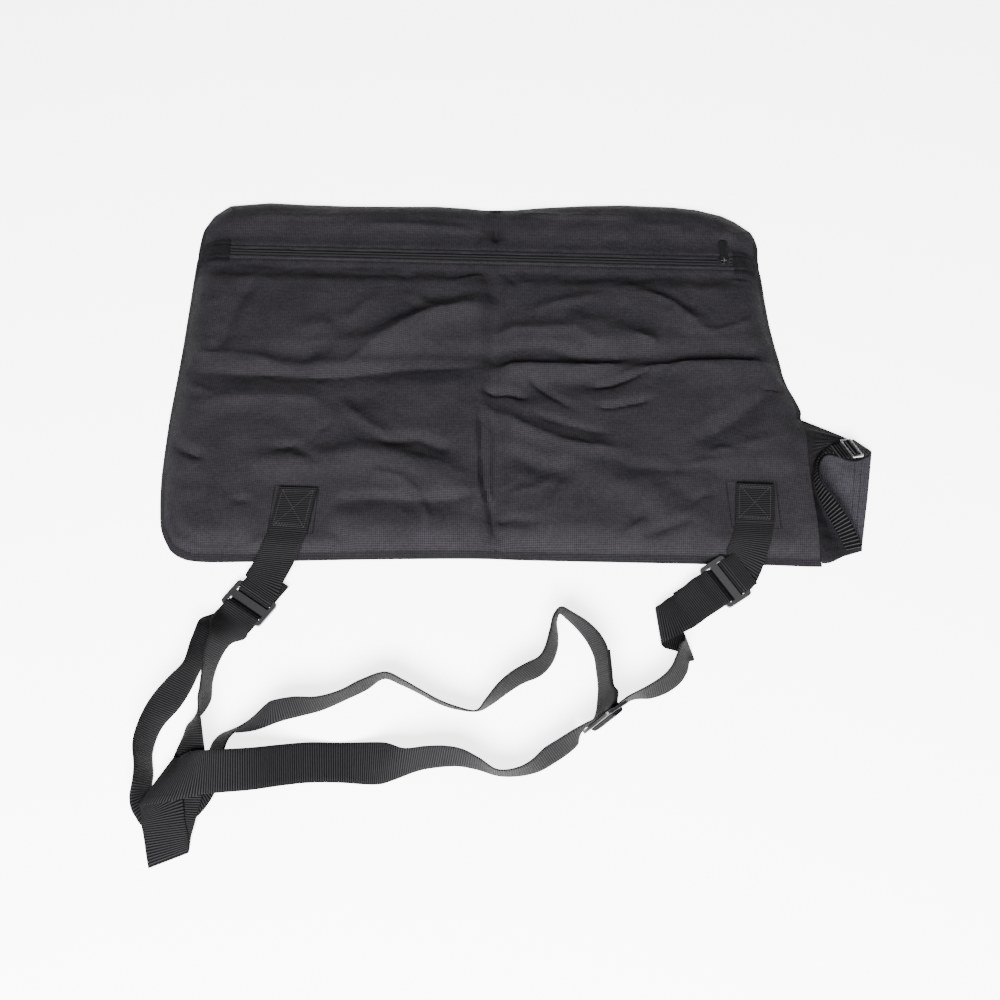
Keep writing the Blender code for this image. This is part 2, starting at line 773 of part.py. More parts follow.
LEFT_ANCHOR = Vector((TAB_LEFT_X, TAB_LEFT_Y, 0.0))
RIGHT_ANCHOR = Vector((TAB_RIGHT_X, TAB_RIGHT_Y, 0.0))
LEFT_FRAME = frame_matrix(
    LEFT_ANCHOR + Vector((-0.036, -0.095, BUCKLE_LEVEL)),
    (math.cos(math.radians(-35.2)), math.sin(math.radians(-35.2)), 0.0),
    (0.576, 0.817, 0.0),
)
RIGHT_FRAME = frame_matrix(
    RIGHT_ANCHOR + Vector((-0.033, -0.0815, BUCKLE_LEVEL + 0.0018)),
    (math.cos(math.radians(-55.7)), math.sin(math.radians(-55.7)), -0.09),
    (0.826, 0.563, 0.0),
)
MIDDLE_FRAME = frame_matrix(
    LEFT_ANCHOR + Vector((0.299, -0.218, 0.0275)), (0.42, 0.05, 0.906), (0.715, 0.594, -0.365)
)
SLOT_LENGTH = WEBBING_WIDTH + 2.0 * SLOT_MARGIN
BAR_HALF = 0.5 * BUCKLE_THICKNESS
SLOT_INNER = 0.5 * BUCKLE_MIDDLE_BAR
SLOT_OUTER = SLOT_INNER + BUCKLE_SLOT
OVER_BAR = BAR_HALF + GAP + 0.5 * WEBBING
BESIDE = GAP + 0.5 * WEBBING


def side_loop(frame, side, start, end, top_first=True, lift=0.0):
    """Stations of webbing round a buckle's side bar, from one face to the other."""
    turn = 1.0 if top_first else -1.0
    inside = SLOT_OUTER - BESIDE - 0.0003
    path = [
        (start, OVER_BAR + lift),
        (0.5 * (start + SLOT_OUTER + 0.004), OVER_BAR + 0.3 * lift),
        (SLOT_OUTER + 0.004, OVER_BAR),
        (SLOT_OUTER, OVER_BAR),
        (inside + 0.0004, OVER_BAR - 0.0005),
        (inside, OVER_BAR - 0.0014),
        (inside, -OVER_BAR + 0.0014),
        (inside + 0.0004, -OVER_BAR + 0.0005),
        (SLOT_OUTER, -OVER_BAR),
        (SLOT_OUTER + 0.004, -OVER_BAR),
        (end, -OVER_BAR),
    ]
    return [in_frame(frame, side * v, turn * w) for v, w in path]


def in_frame(frame, v, w, low=-0.5, high=0.5):
    """Ruling across a buckle at local v and w, as a near and a far end."""
    near = frame @ Vector((-low * WEBBING_WIDTH, v, w))
    far = frame @ Vector((-high * WEBBING_WIDTH, v, w))
    return near, far, "kept"


# Ribbons


def ribbon_stations(keys, width, step, thickness):
    """Smooth rulings through the key rulings."""
    mids = [(k[0] + k[1]) * 0.5 for k in keys]
    knots = [0.0]
    for a, b in zip(mids, mids[1:]):
        knots.append(knots[-1] + max((b - a).length, 0.0004) ** 0.5)
    out = []
    for i in range(len(keys) - 1):
        length = (mids[i + 1] - mids[i]).length
        loose = keys[i][2] == "kept" and keys[i + 1][2] == "kept"
        count = 1 if loose and length < 0.02 else max(1, round(length / step))
        for k in range(count):
            t = k / count
            ends = []
            for side in (0, 1):
                ends.append(curve_point(keys, knots, side, i, t))
            target = mix(ruling_width(keys[i], width), ruling_width(keys[i + 1], width), t)
            out.append(settle(ends[0], ends[1], target, thickness))
    last = keys[-1]
    out.append(settle(last[0], last[1], ruling_width(last, width), thickness))
    return out


def ruling_width(key, width):
    """Width of a ruling: the webbing's own, or the measured one at a fold."""
    if key[2] == "laid":
        return width
    return (key[1] - key[0]).length


def settle(near, far, width, thickness):
    """Ruling at its width, kept above the ground."""
    mid = (near + far) * 0.5
    along = (far - near).normalized() * (0.5 * width)
    near, far = mid - along, mid + along
    floor = GROUND_CLEARANCE + 0.5 * thickness * min(1.0, math.hypot(along.x, along.y) / along.length)
    lift = max(0.0, floor - min(near.z, far.z))
    up = Vector((0.0, 0.0, lift))
    return near + up, far + up


def curve_point(keys, knots, side, i, t):
    """Point on the smooth curve through one side's key points."""
    p1, p2 = keys[i][side], keys[i + 1][side]
    k1, k2 = knots[i], knots[i + 1]
    span = k2 - k1
    before = tangent(keys, knots, side, i)
    after = tangent(keys, knots, side, i + 1)
    h00 = 2 * t**3 - 3 * t**2 + 1
    h10 = t**3 - 2 * t**2 + t
    h01 = -2 * t**3 + 3 * t**2
    h11 = t**3 - t**2
    return p1 * h00 + before * (h10 * span) + p2 * h01 + after * (h11 * span)


def tangent(keys, knots, side, i):
    """Slope at a key point."""
    if i == 0:
        return (keys[1][side] - keys[0][side]) / (knots[1] - knots[0])
    if i == len(keys) - 1:
        return (keys[i][side] - keys[i - 1][side]) / (knots[i] - knots[i - 1])
    left = (keys[i][side] - keys[i - 1][side]) / (knots[i] - knots[i - 1])
    right = (keys[i + 1][side] - keys[i][side]) / (knots[i + 1] - knots[i])
    before, after = knots[i] - knots[i - 1], knots[i + 1] - knots[i]
    return (left * after + right * before) / (before + after)


def ribbon(name, stations, thickness, slot):
    """Closed band of even thickness along a list of rulings."""
    count = len(stations)
    half = 0.5 * thickness
    under, over = [], []
    for i, (near, far) in enumerate(stations):
        a = stations[max(i - 1, 0)]
        b = stations[min(i + 1, count - 1)]
        along = (b[0] + b[1]) * 0.5 - (a[0] + a[1]) * 0.5
        normal = along.cross(far - near)
        if normal.length < 1e-12:
            normal = Vector((0.0, 0.0, 1.0))
        normal = normal.normalized() * half
        under.append([near - normal, far - normal])
        over.append([near + normal, far + normal])
    return grid_shell(name, under, over, slot)


def key(near, far, kind="laid"):
    """Key ruling from two millimetre points."""
    return (mm(*near), mm(*far), kind)


def moved(keys, anchor):
    """Key rulings shifted to an anchor point."""
    return [(near + anchor, far + anchor, kind) for near, far, kind in keys]
# Shoulder strap: lower edge and upper edge of each ruling, millimetres from a tab's middle
# From the middle buckle to the turn at the far left
STRAP_OUT = [
    key((296, -181, 0.8), (306, -190, 36)),
    key((295, -163, 0.8), (305, -173, 36)),
    key((293, -147, 0.8), (304, -156, 36)),
    key((286, -132, 0.8), (297, -141, 36)),
    key((277, -119, 0.8), (285, -128, 37)),
    key((268, -109, 0.8), (272, -119, 37)),
    key((261, -103, 0.8), (261, -113, 37)),
    key((258, -112, 0.8), (254, -121, 38)),
    key((259, -126, 0.8), (250, -136, 37)),
    key((258, -141, 0.8), (245, -153, 35)),
    key((252, -156, 0.8), (239, -163, 36)),
    key((242, -167, 0.8), (228, -169, 36)),
    key((225, -175, 0.8), (213, -179, 37)),
    key((210, -185, 0.8), (201, -191, 37)),
    key((197, -195, 0.8), (191, -205, 37)),
    key((184, -202, 0.8), (183, -215, 36)),
    key((163, -200, 0.8), (165, -212, 37)),
    key((146, -194, 0.8), (148, -205, 37)),
    key((128, -184, 0.8), (131, -195, 37)),
    key((112, -176, 0.8), (116, -186, 37)),
    key((96, -170, 0.8), (100, -179, 38)),
    key((80, -181, 0.8), (79, -186, 38)),
    key((61, -191, 0.8), (59, -197, 38)),
    key((40, -201, 0.8), (38, -203, 38)),
    key((20, -207, 0.8), (18, -203, 38)),
    key((0, -213, 0.8), (1, -206, 38)),
    key((-20, -221, 0.8), (-6, -208, 34)),
    key((-36, -223, 0.8), (-16, -219, 33)),
    key((-48, -223, 0.8), (-27, -229, 32)),
    key((-57, -231, 0.8), (-37, -240, 32)),
    key((-61, -244, 0.8), (-42, -256, 29)),
    key((-68, -257, 0.8), (-47, -277, 16)),
    key((-78, -269, 0.8), (-64, -303, 4.5), "kept"),
    key((-89, -279, 0.8), (-87, -315, 2.6), "kept"),
    key((-98, -284, 0.8), (-106, -315, 3.2), "kept"),
    key((-104, -284.5, 0.8), (-116.5, -305, 11), "kept"),
    key((-108.5, -279.5, 0.8), (-120, -293, 26), "kept"),
]
# Up to the left buckle
STRAP_UP = [
    key((-108, -274, 0.8), (-117, -283, 37)),
    key((-108, -263, 0.8), (-117, -268, 38)),
    key((-111, -242, 0.8), (-121, -245, 38)),
    key((-106, -219, 0.8), (-118, -223, 36)),
    key((-91, -198, 0.8), (-110, -200, 34)),
    key((-83, -181, 0.8), (-98, -184, 36)),
    key((-77, -163, 0.8), (-85, -169, 38)),
    key((-69, -143, 0.8), (-81, -148, 36)),
    key((-61, -132, 0.8), (-77, -132, 31)),
    key((-49, -130, 1.2), (-73, -116, 16)),
]
# Back down, over itself, folded at the bottom and again to the right
STRAP_DOWN = [
    key((-39, -130, 5), (-65, -120, 23)),
    key((-50, -134.5, 1), (-64, -138.5, 36)),
    key((-59, -150, 0.8), (-67, -157, 37)),
    key((-64, -173, 0.8), (-67, -179, 38)),
    key((-64, -192, 0.8), (-67, -193, 38)),
    key((-71, -207, 2), (-67, -206, 40)),
    key((-81, -216, 5), (-63, -221, 39)),
    key((-84, -230, 9), (-59, -240, 37)),
    key((-88, -245, 11), (-57, -254, 31)),
    key((-93, -265, 9.5), (-59, -270, 20)),
    key((-98, -285, 8.5), (-60.5, -286, 10.5)),
    key((-102, -307, 7.6), (-64.5, -309, 7.2)),
    key((-103, -327, 4.2), (-67, -320, 4), "kept"),
    key((-102, -345.5, 1.2), (-68, -331.8, 1.2), "kept"),
    key((-102, -347.5, 2.2), (-68.2, -333.8, 2.2), "kept"),
    key((-102.3, -345.5, 3.2), (-68.5, -331.8, 3.2), "kept"),
    key((-106, -327, 6.8), (-70, -321, 7)),
    key((-110.5, -311, 9.8), (-74, -305, 10.6)),
    key((-111.3, -304, 11.6), (-78, -284, 13.4), "kept"),
    key((-112.2, -299, 13.2), (-84.3, -257, 15.6), "kept"),
    key((-114.2, -295.4, 14.6), (-86.6, -251.4, 17.2), "kept"),
    key((-111.7, -296.4, 16.1), (-83.8, -253.8, 18.8), "kept"),
    key((-104, -296, 18), (-78, -252.5, 24), "kept"),
    key((-91, -295, 20.5), (-71, -252, 31), "kept"),
    key((-75, -293, 24), (-64, -253, 37), "kept"),
]
# To the middle buckle
STRAP_BACK = [
    key((-56, -291, 29), (-55, -253, 40)),
    key((-37, -291, 35), (-39, -253, 41)),
    key((-14, -287, 31), (-17, -250, 35)),
    key((11, -278, 15), (8, -240, 17)),
    key((34, -272, 5), (31, -234, 6)),
    key((64, -271, 1.5), (62, -233, 2)),
    key((93, -271, 0.8), (95, -239, 15)),
    key((113, -266, 0.8), (118, -250, 34)),
    key((132, -259, 0.8), (138, -249, 37)),
    key((150, -256, 0.8), (155, -249, 38)),
    key((166, -255, 0.8), (170, -252, 38)),
    key((183, -258, 0.8), (185, -260, 38)),
    key((203, -264, 0.8), (202, -271, 38)),
    key((222, -264, 0.8), (220, -269, 38)),
    key((239, -260, 0.8), (232, -262, 38)),
    key((253, -252, 0.8), (243, -251, 37)),
    key((266, -243, 0.8), (255, -243, 37)),
    key((275, -235, 4), (268, -236, 41)),
]
# From the middle buckle to the fold under the right end
STRAP_OVER = [
    key((325, -193, 5), (322, -202, 41)),
    key((344, -189.5, 0.8), (338, -192, 38)),
    key((359, -184, 0.8), (351, -183, 38)),
    key((372, -174, 0.8), (360, -173, 36)),
    key((379, -163, 0.8), (365, -163, 35)),
    key((382, -153, 0.8), (370, -150, 36)),
    key((385, -152, 0.8), (376, -140, 20), "kept"),
    key((386, -149.5, 0.8), (378, -128, 8), "kept"),
    key((382, -145.5, 0.8), (375, -117, 3.6), "kept"),
    key((371, -142.5, 1.2), (366, -107, 1.2), "kept"),
    key((359.5, -139.5, 2.2), (356, -102, 2.2), "kept"),
    key((356.5, -137.8, 5.5), (352.8, -100, 5.5), "kept"),
    key((356.6, -137.2, 9.5), (352.9, -99.4, 9.5), "kept"),
    key((360, -137, 12.5), (356, -99, 12.5), "kept"),
]
# Flat to the right buckle
STRAP_END = [
    key((-78, -137, 13), (-91, -101.5, 12.6), "kept"),
    key((-66, -129.5, 11.5), (-84.5, -97.5, 11.5)),
]

# Tab straps: left edge and right edge, millimetres from the tab's middle, height above the ground
SEWN_LEVEL = 1000.0 * (TAB_LEVEL + SEWN_GAP + 0.5 * WEBBING)
LEFT_TAB = [
    key((-14.5, 26.5, SEWN_LEVEL), (22.5, 26, SEWN_LEVEL)),
    key((-18, 4, SEWN_LEVEL), (19, 1, SEWN_LEVEL)),
    key((-21.5, -20, SEWN_LEVEL), (15.5, -24, SEWN_LEVEL)),
    key((-26, -33, SEWN_LEVEL), (11, -37, SEWN_LEVEL)),
    key((-32, -49, 13.6), (5, -53, 13.6)),
    key((-41, -66, 10.6), (-6.5, -79, 10.6)),
]
RIGHT_TAB = [
    key((-15, 23, SEWN_LEVEL), (22, 21.5, SEWN_LEVEL)),
    key((-17.5, 2, SEWN_LEVEL), (20, 0.5, SEWN_LEVEL)),
    key((-19.5, -20, SEWN_LEVEL), (18, -21.5, SEWN_LEVEL)),
    key((-23.5, -36, SEWN_LEVEL), (14, -39, SEWN_LEVEL)),
    key((-28, -45, 15), (8.5, -56, 14), "kept"),
    key((-30, -50.5, 11.6), (1.5, -73, 9), "kept"),
]


def build_straps():
    """Tab straps, slide buckles and the shoulder strap."""
    size = (BUCKLE_LENGTH, BUCKLE_THICKNESS, BUCKLE_SIDE_BAR, BUCKLE_SLOT, BUCKLE_MIDDLE_BAR)
    for name, frame in (
        ("left_buckle", LEFT_FRAME),
        ("middle_buckle", MIDDLE_FRAME),
        ("right_buckle", RIGHT_FRAME),
    ):
        slide_buckle(name, frame, *size, SLOT_LENGTH, "buckle_plastic")
    tail = SLOT_OUTER + BUCKLE_SIDE_BAR + DOUBLED
    keys = [(far, near, kind) for near, far, kind in moved(LEFT_TAB, LEFT_ANCHOR)]
    keys += side_loop(LEFT_FRAME, 1.0, 0.019, tail)
    finish_ribbon("left_tab_strap", keys)
    keys = [(far, near, kind) for near, far, kind in moved(RIGHT_TAB, RIGHT_ANCHOR)]
    keys += side_loop(RIGHT_FRAME, 1.0, 0.019, tail - 0.0125, top_first=False)
    finish_ribbon("right_tab_strap", keys)
    finish_ribbon("shoulder_strap", shoulder_keys())


def finish_ribbon(name, keys):
    """Webbing of the common width and thickness through key rulings."""
    stations = ribbon_stations(keys, WEBBING_WIDTH, WEBBING_STEP, WEBBING)
    ribbon(name, stations, WEBBING, "webbing_black")


def shoulder_keys():
    """Key rulings of the whole shoulder strap, from its sewn end to its other end."""
    out = moved(STRAP_OUT, LEFT_ANCHOR)
    shift = 0.5 * (WEBBING + GAP)
    doubled = []
    main = []
    for i, (near, far, kind) in enumerate(out):
        if i > 2:
            main.append((near, far, kind))
            continue
        after, before = out[i + 1], out[max(i - 1, 0)]
        along = (after[0] + after[1]) - (before[0] + before[1])
        side = along.cross(far - near).normalized() * shift
        main.append((near - side, far - side, kind))
        doubled.append((near + side, far + side, kind))
    keys = doubled[::-1]
    keys += middle_loop()
    keys += main
    keys += moved(STRAP_UP, LEFT_ANCHOR)
    keys += side_loop(LEFT_FRAME, -1.0, 0.022, 0.022, top_first=False)
    keys += moved(STRAP_DOWN, LEFT_ANCHOR)
    keys += moved(STRAP_BACK, LEFT_ANCHOR)
    keys += middle_passage()
    keys += moved(STRAP_OVER, LEFT_ANCHOR)
    keys += moved(STRAP_END, RIGHT_ANCHOR)
    keys += side_loop(RIGHT_FRAME, -1.0, 0.026, 0.049, lift=0.0012)
    return keys


def upright(v, w):
    """Ruling across the middle buckle, lower end first."""
    near, far, kind = in_frame(MIDDLE_FRAME, v * 0.001, w * 0.001)
    return far, near, kind


def middle_loop():
    """Sewn loop round the middle bar of the middle buckle."""
    side = 1000.0 * (SLOT_INNER + BESIDE)
    back = -1000.0 * OVER_BAR
    path = [
        (13.5, 11.5),
        (9.5, 7.7),
        (6.3, 4.6),
        (side + 0.3, 2.2),
        (side, 0.8),
        (side, -1.5),
        (side - 0.4, -2.2),
        (side - 1.3, back),
        (-side + 1.3, back),
        (-side + 0.4, -2.2),
        (-side, -1.5),
        (-side, 0.8),
        (-side + 0.7, 2.6),
        (-2.2, 3.9),
        (1.2, 5.1),
        (4.6, 6.8),
        (8.2, 9.2),
        (12.3, 12.8),
    ]
    return [upright(v, w) for v, w in path]


def middle_passage():
    """Strap running through both slots, over the sewn loop."""
    path = [
        (-22.0, 2.4),
        (-17.0, 3.2),
        (-13.0, 3.0),
        (-10.2, 2.8),
        (-8.4, 2.0),
        (-7.4, 0.4),
        (-6.8, -1.6),
        (-6.3, -3.1),
        (-5.0, -4.1),
        (-3.3, -4.4),
        (3.3, -4.4),
        (5.0, -4.1),
        (6.3, -3.1),
        (6.8, -1.6),
        (7.4, 0.4),
        (8.4, 2.0),
        (10.2, 2.8),
        (13.0, 3.0),
        (17.0, 3.2),
    ]
    return [upright(v, w) for v, w in path]


# Neck: front layer of the sleeve, from its lower corner to its upper corner, in millimetres
# from the neck's lower end at the body; rows run from the body to the mouth
NECK_VALLEY = [
    (24, 10, 2.6),
    (21, 18, 5),
    (14, 36, 7),
    (9, 54, 8),
    (4, 72, 10),
    (1.5, 84, 13),
    (1.5, 94, 13),
    (4, 104, 13),
    (10, 117, 15),
    (18, 125, 17),
    (26, 130, 17),
    (33, 134, 15),
    (40, 138, 11),
    (44, 143, 5),
    (45, 145, 2.6),
]
NECK_MOUTH = [
    (43, 16, 2.6),
    (41, 23, 8),
    (31, 44, 17),
    (20, 62, 22),
    (10, 77, 25),
    (6.5, 86, 26.5),
    (6, 96, 26.5),
    (9, 105, 26),
    (15, 111, 25),
    (25, 110.5, 23.5),
    (35, 107.5, 21.5),
    (45, 108, 18.5),
    (55, 114, 13),
    (64.5, 123, 5),
    (67.5, 127.5, 2.6),
]
NECK_ORIGIN = Vector((RIGHT + 0.023, BOTTOM - 0.0035, 0.0))
BACK_VALLEY = [(45, 145), (40, 118), (36, 92), (32, 66), (28, 38), (24, 10)]
BACK_MOUTH = [(67.5, 127.5), (62, 101), (56.5, 75), (51, 51), (45.5, 27), (43, 16)]


FRONT_STEPS = 28


def neck_point(values):
    """Neck millimetres to metres."""
    return NECK_ORIGIN + mm(*values)


def sleeve_front(t, s):
    """Front layer of the sleeve: t along the mouth, s from inside the body to the mouth."""
    edge_y = mix(BOTTOM + 0.006, NECK_TOP_Y - 0.006, t)
    edge_x = x_on(RIGHT_EDGE, edge_y)
    rows = []
    for x in (edge_x - SLEEVE_LAP, edge_x - 0.0005):
        round_end = 1.0 - ease((edge_distance(x, edge_y) - 0.02) / EDGE_ROLL)
        top = min(panel_height(x, edge_y), panel_height(x - 0.014, edge_y))
        top -= SLEEVE + GAP + 0.0012 * round_end
        rows.append(Vector((x, edge_y, max(top, RIM + 0.0016))))
    rows.append(chain_point(NECK_VALLEY, t))
    rows.append(chain_point(NECK_MOUTH, t))
    place = s * 3.0
    i = min(int(place), 2)
    return rows[i].lerp(rows[i + 1], place - i)


def chain_point(chain, t):
    """Point of a neck chain at a share of its count."""
    place = t * (len(chain) - 1)
    i = min(int(place), len(chain) - 2)
    return neck_point(chain[i]).lerp(neck_point(chain[i + 1]), place - i)


def sleeve_back(t, s):
    """Back layer of the sleeve, t from the upper corner to the lower one."""
    edge_y = mix(NECK_TOP_Y - 0.006, BOTTOM + 0.006, t)
    edge_x = x_on(RIGHT_EDGE, edge_y)
    inside = Vector((edge_x - SLEEVE_LAP, edge_y, RIM + SLEEVE))
    edge = Vector((edge_x + 0.001, edge_y, RIM + SLEEVE))
    mouth = NECK_ORIGIN + mm(*at_share(BACK_MOUTH, t), 1.0)
    valley = NECK_ORIGIN + mm(*at_share(BACK_VALLEY, t), 1.0)
    rows = [inside, edge, valley, mouth]
    place = s * 3.0
    i = min(int(place), 2)
    return rows[i].lerp(rows[i + 1], place - i)


def build_neck():
    """Sleeve, its ribbed strap and the small buckle."""
    steps = [0.0, 1.0 / 3.0, 0.5, 2.0 / 3.0, 0.84, 1.0]
    front, back = FRONT_STEPS, 10
    rows = []
    for s in steps:
        ring = [sleeve_back(i / back, s) for i in range(back + 1)]
        ring += [sleeve_front(i / front, s) for i in range(front + 1)]
        rows.append(ring)
    tube_shell("neck_sleeve", rows, SLEEVE, "fabric_inner")
    build_neck_strap()


def tube_shell(name, rows, thickness, slot):
    """Closed tube wall: the rings grown outward by the thickness."""
    count = len(rows[0])
    inner = [p for row in rows for p in row]
    outer = []
    for j, row in enumerate(rows):
        up = rows[min(j + 1, len(rows) - 1)]
        down = rows[max(j - 1, 0)]
        for i in range(count):
            along = up[i] - down[i]
            across = row[(i + 1) % count] - row[i - 1]
            normal = along.cross(across)
            if normal.length < 1e-12:
                normal = Vector((0.0, 0.0, 1.0))
            outer.append(row[i] + normal.normalized() * thickness)
    verts = inner + outer
    lift = len(inner)
    faces = []
    for j in range(len(rows) - 1):
        for i in range(count):
            k = (i + 1) % count
            a, b, c, d = j * count + i, j * count + k, (j + 1) * count + k, (j + 1) * count + i
            if (inner[a] - inner[c]).length <= (inner[b] - inner[d]).length:
                halves = [(a, b, c), (a, c, d)]
            else:
                halves = [(a, b, d), (b, c, d)]
            for p, q, r in halves:
                faces.append((p, q, r))
                faces.append((r + lift, q + lift, p + lift))
    for j in (0, len(rows) - 1):
        for i in range(count):
            k = (i + 1) % count
            a, b = j * count + i, j * count + k
            faces.append((a, b, b + lift, a + lift))
    add_object(name, verts, faces, slot, smooth=50)


def front_normal(t, s):
    """Upward normal of the sleeve's front layer."""
    e = 1.0 / FRONT_STEPS
    along = sleeve_front(min(t + e, 1.0), s) - sleeve_front(max(t - e, 0.0), s)
    out = sleeve_front(t, min(s + e, 1.0)) - sleeve_front(t, max(s - e, 0.0))
    normal = out.cross(along).normalized()
    return normal if normal.z > 0 else -normal


def build_neck_strap():
    """Ribbed strap along the front rim, its tail and the small buckle."""
    offset = 0.5 * NECK_STRAP + SLEEVE + 5.0 * GAP
    stations = []
    for i in range(1, FRONT_STEPS):
        t = i / FRONT_STEPS
        turn = 1.0 - ease(abs(t - 0.43) / 0.2)
        ends = []
        for s in (0.72 + 0.12 * turn, 0.985):
            ends.append(sleeve_front(t, s) + front_normal(t, s) * offset)
        stations.append(tuple(ends))
    ribbon("neck_strap", stations, NECK_STRAP, "webbing_black")
    t = NECK_BUCKLE_PLACE
    normal = front_normal(t, 0.85)
    lift = offset + 0.5 * NECK_STRAP + 0.5 * NECK_BUCKLE_THICKNESS + NECK_STRAP + 2.0 * GAP
    across = sleeve_front(t, 1.0) - sleeve_front(t, 0.7)
    frame = frame_matrix(sleeve_front(t, 0.85) + normal * lift, across, across.cross(normal))
    slot_length = NECK_BUCKLE_LENGTH - 2.0 * NECK_BUCKLE_SIDE_BAR
    slide_buckle(
        "neck_buckle",
        frame,
        NECK_BUCKLE_LENGTH,
        NECK_BUCKLE_THICKNESS,
        NECK_BUCKLE_SIDE_BAR,
        NECK_BUCKLE_SLOT,
        NECK_BUCKLE_MIDDLE_BAR,
        slot_length,
        "buckle_metal",
    )
    half = 0.5 * slot_length - 0.0006
    over = 0.5 * (NECK_BUCKLE_THICKNESS + NECK_STRAP) + GAP
    outer = 0.5 * NECK_BUCKLE_MIDDLE_BAR + NECK_BUCKLE_SLOT + NECK_BUCKLE_SIDE_BAR
    mid = 0.5 * (NECK_BUCKLE_MIDDLE_BAR + NECK_BUCKLE_SLOT)
    path = [
        (-outer - 0.003, over + 0.0003),
        (-outer + 0.0008, over),
        (-mid - 0.0010, over - 0.0002),
        (-mid + 0.0002, 0.0),
        (-mid + 0.0012, -over),
        (mid - 0.0012, -over),
        (mid - 0.0002, 0.0),
        (mid + 0.0010, over - 0.0002),
        (outer - 0.0008, over),
        (outer + 0.003, over + 0.0004),
        (outer + 0.012, over + 0.0012),
    ]
    stations = []
    for v, w in path:
        stations.append((frame @ Vector((half, v, w)), frame @ Vector((-half, v, w))))
    ribbon("neck_strap_tail", stations, NECK_STRAP, "webbing_black")


def build_backings():
    """Reinforcement squares inside the bag behind the strap tabs."""
    for name, tx, ty in (
        ("tab_backing_left", TAB_LEFT_X, TAB_LEFT_Y),
        ("tab_backing_right", TAB_RIGHT_X, TAB_RIGHT_Y),
    ):
        grid = []
        for v in shares(4):
            row = []
            for u in shares(4):
                x = tx + mix(-BACKING_HALF, BACKING_HALF, u)
                y = ty + mix(-BACKING_HALF, BACKING_HALF, v)
                row.append((x, y))
            grid.append(row)
        drop = GAP + BACKING + 0.0003
        panel(name, grid, lambda x, y: panel_height(x, y) - drop, BACKING, "fabric_inner")


def main():
    """Build the bag."""
    clear_scene()
    build_body()
    build_backings()
    build_zip()
    build_straps()
    build_neck()
    bpy.context.view_layer.update()


main()
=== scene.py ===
"""Garden vacuum collection bag lying flat: looks of its fabric, zip, webbing, buckles and neck.

Metres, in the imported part's own frame: the bag lies on its back panel at z = 0, with +X towards
the neck and +Y towards the zip.
"""

import math

import bmesh
import bpy
import numpy as np
from mathutils import Matrix, Vector, noise


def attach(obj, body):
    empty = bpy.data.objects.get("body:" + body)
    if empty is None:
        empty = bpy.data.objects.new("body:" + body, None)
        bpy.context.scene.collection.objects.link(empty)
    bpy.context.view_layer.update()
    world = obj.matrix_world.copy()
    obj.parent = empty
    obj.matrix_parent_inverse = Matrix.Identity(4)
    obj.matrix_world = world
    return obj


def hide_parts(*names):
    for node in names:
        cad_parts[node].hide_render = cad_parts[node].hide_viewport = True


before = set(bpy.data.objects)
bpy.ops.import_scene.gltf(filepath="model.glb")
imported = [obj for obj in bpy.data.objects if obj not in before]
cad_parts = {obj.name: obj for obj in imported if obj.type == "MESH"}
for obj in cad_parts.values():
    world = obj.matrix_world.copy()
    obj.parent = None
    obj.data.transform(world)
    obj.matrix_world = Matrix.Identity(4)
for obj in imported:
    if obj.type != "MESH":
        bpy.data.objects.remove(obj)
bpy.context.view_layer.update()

bl_info = {
    "name": "Garden vacuum bag",
    "version": (1, 0, 0),
    "blender": (4, 5, 0),
    "location": "3D View > Sidebar > Garden Bag",
    "description": "Builds the fabric, zip, webbing, buckles and neck of a garden vacuum bag",
    "category": "Object",
}

# Body of the bag, as in the part's source
BAG_WIDTH = 0.628
BAG_HEIGHT = 0.457
FABRIC = 0.001
GAP = 0.0003
LOFT = 0.0195
EDGE_ROLL = 0.042
UPPER_LOFT = 0.78
LEFT, RIGHT = -0.5 * BAG_WIDTH, 0.5 * BAG_WIDTH
TOP, BOTTOM = 0.5 * BAG_HEIGHT, -0.5 * BAG_HEIGHT
RIM = FABRIC + GAP
FOLD_DEPTH = 0.0075
FOLD_HALF_WIDTH = 0.020
FOLD_X = 0.020
FOLD_Y = 0.008
# Share by which the fabric was cut larger than its outline
FOLD_SLACK = 1.02
# Width over which the loft changes above the zip
LOFT_STEP = 0.03
# Widths over which creases and waves fade out beside the zip, at the edge and before the neck
CALM_ZIP = 0.016
CALM_EDGE = 0.03
CALM_NECK = 0.030
# Rounder roll of the edge, and the room that it leaves round the tabs and before the neck
FULL_ROLL = 0.031
LOW_BAND = 0.08
TAB_GUARD = 0.040
NECK_GUARD = 0.060
GUARD_FADE = 0.030
# Height of the welt along the lower edge, and width of the band of painted shade along the outline
WELT = 0.0005
SHADED_RIM = 0.0055

# Zip
ZIP_Y = TOP - 0.0865
ZIP_TILT = math.radians(-1.76)
ZIP_LEFT = LEFT + 0.034
ZIP_RIGHT = RIGHT - 0.026
ZIP_LEVEL = 0.0130
ZIP_TAPE = 0.0008
ZIP_FLAT = 0.018
ZIP_FADE = 0.026
COIL_INNER = 0.00055
COIL_OUTER = 0.0032
COIL_HEIGHT = 0.0021
END_PATCH_LAP = 0.007
END_COVER = 0.0009
END_COVER_HALF = 0.0148
END_STITCHES_HALF = 0.0125
# Folded lips beside the zip: where they are sewn, how high and wide they stand up, their edge
LIP_STITCHES = 0.0046
LIP_RISE = 0.0024
LIP_FLAT = 0.0120
LIP_FADE = 0.022
LIP_BEAD = 0.0006

# Webbing and tabs
WEBBING_WIDTH = 0.038
WEBBING = 0.0014
GROUND_CLEARANCE = 0.0002
TAB_LEFT = (-0.179, BOTTOM + 0.0475)
TAB_RIGHT = (0.275, BOTTOM + 0.0560)
TAB_LEVEL = 0.0165
TAB_FLAT = 0.029
TAB_FADE = 0.026
SEWN_GAP = 0.0006

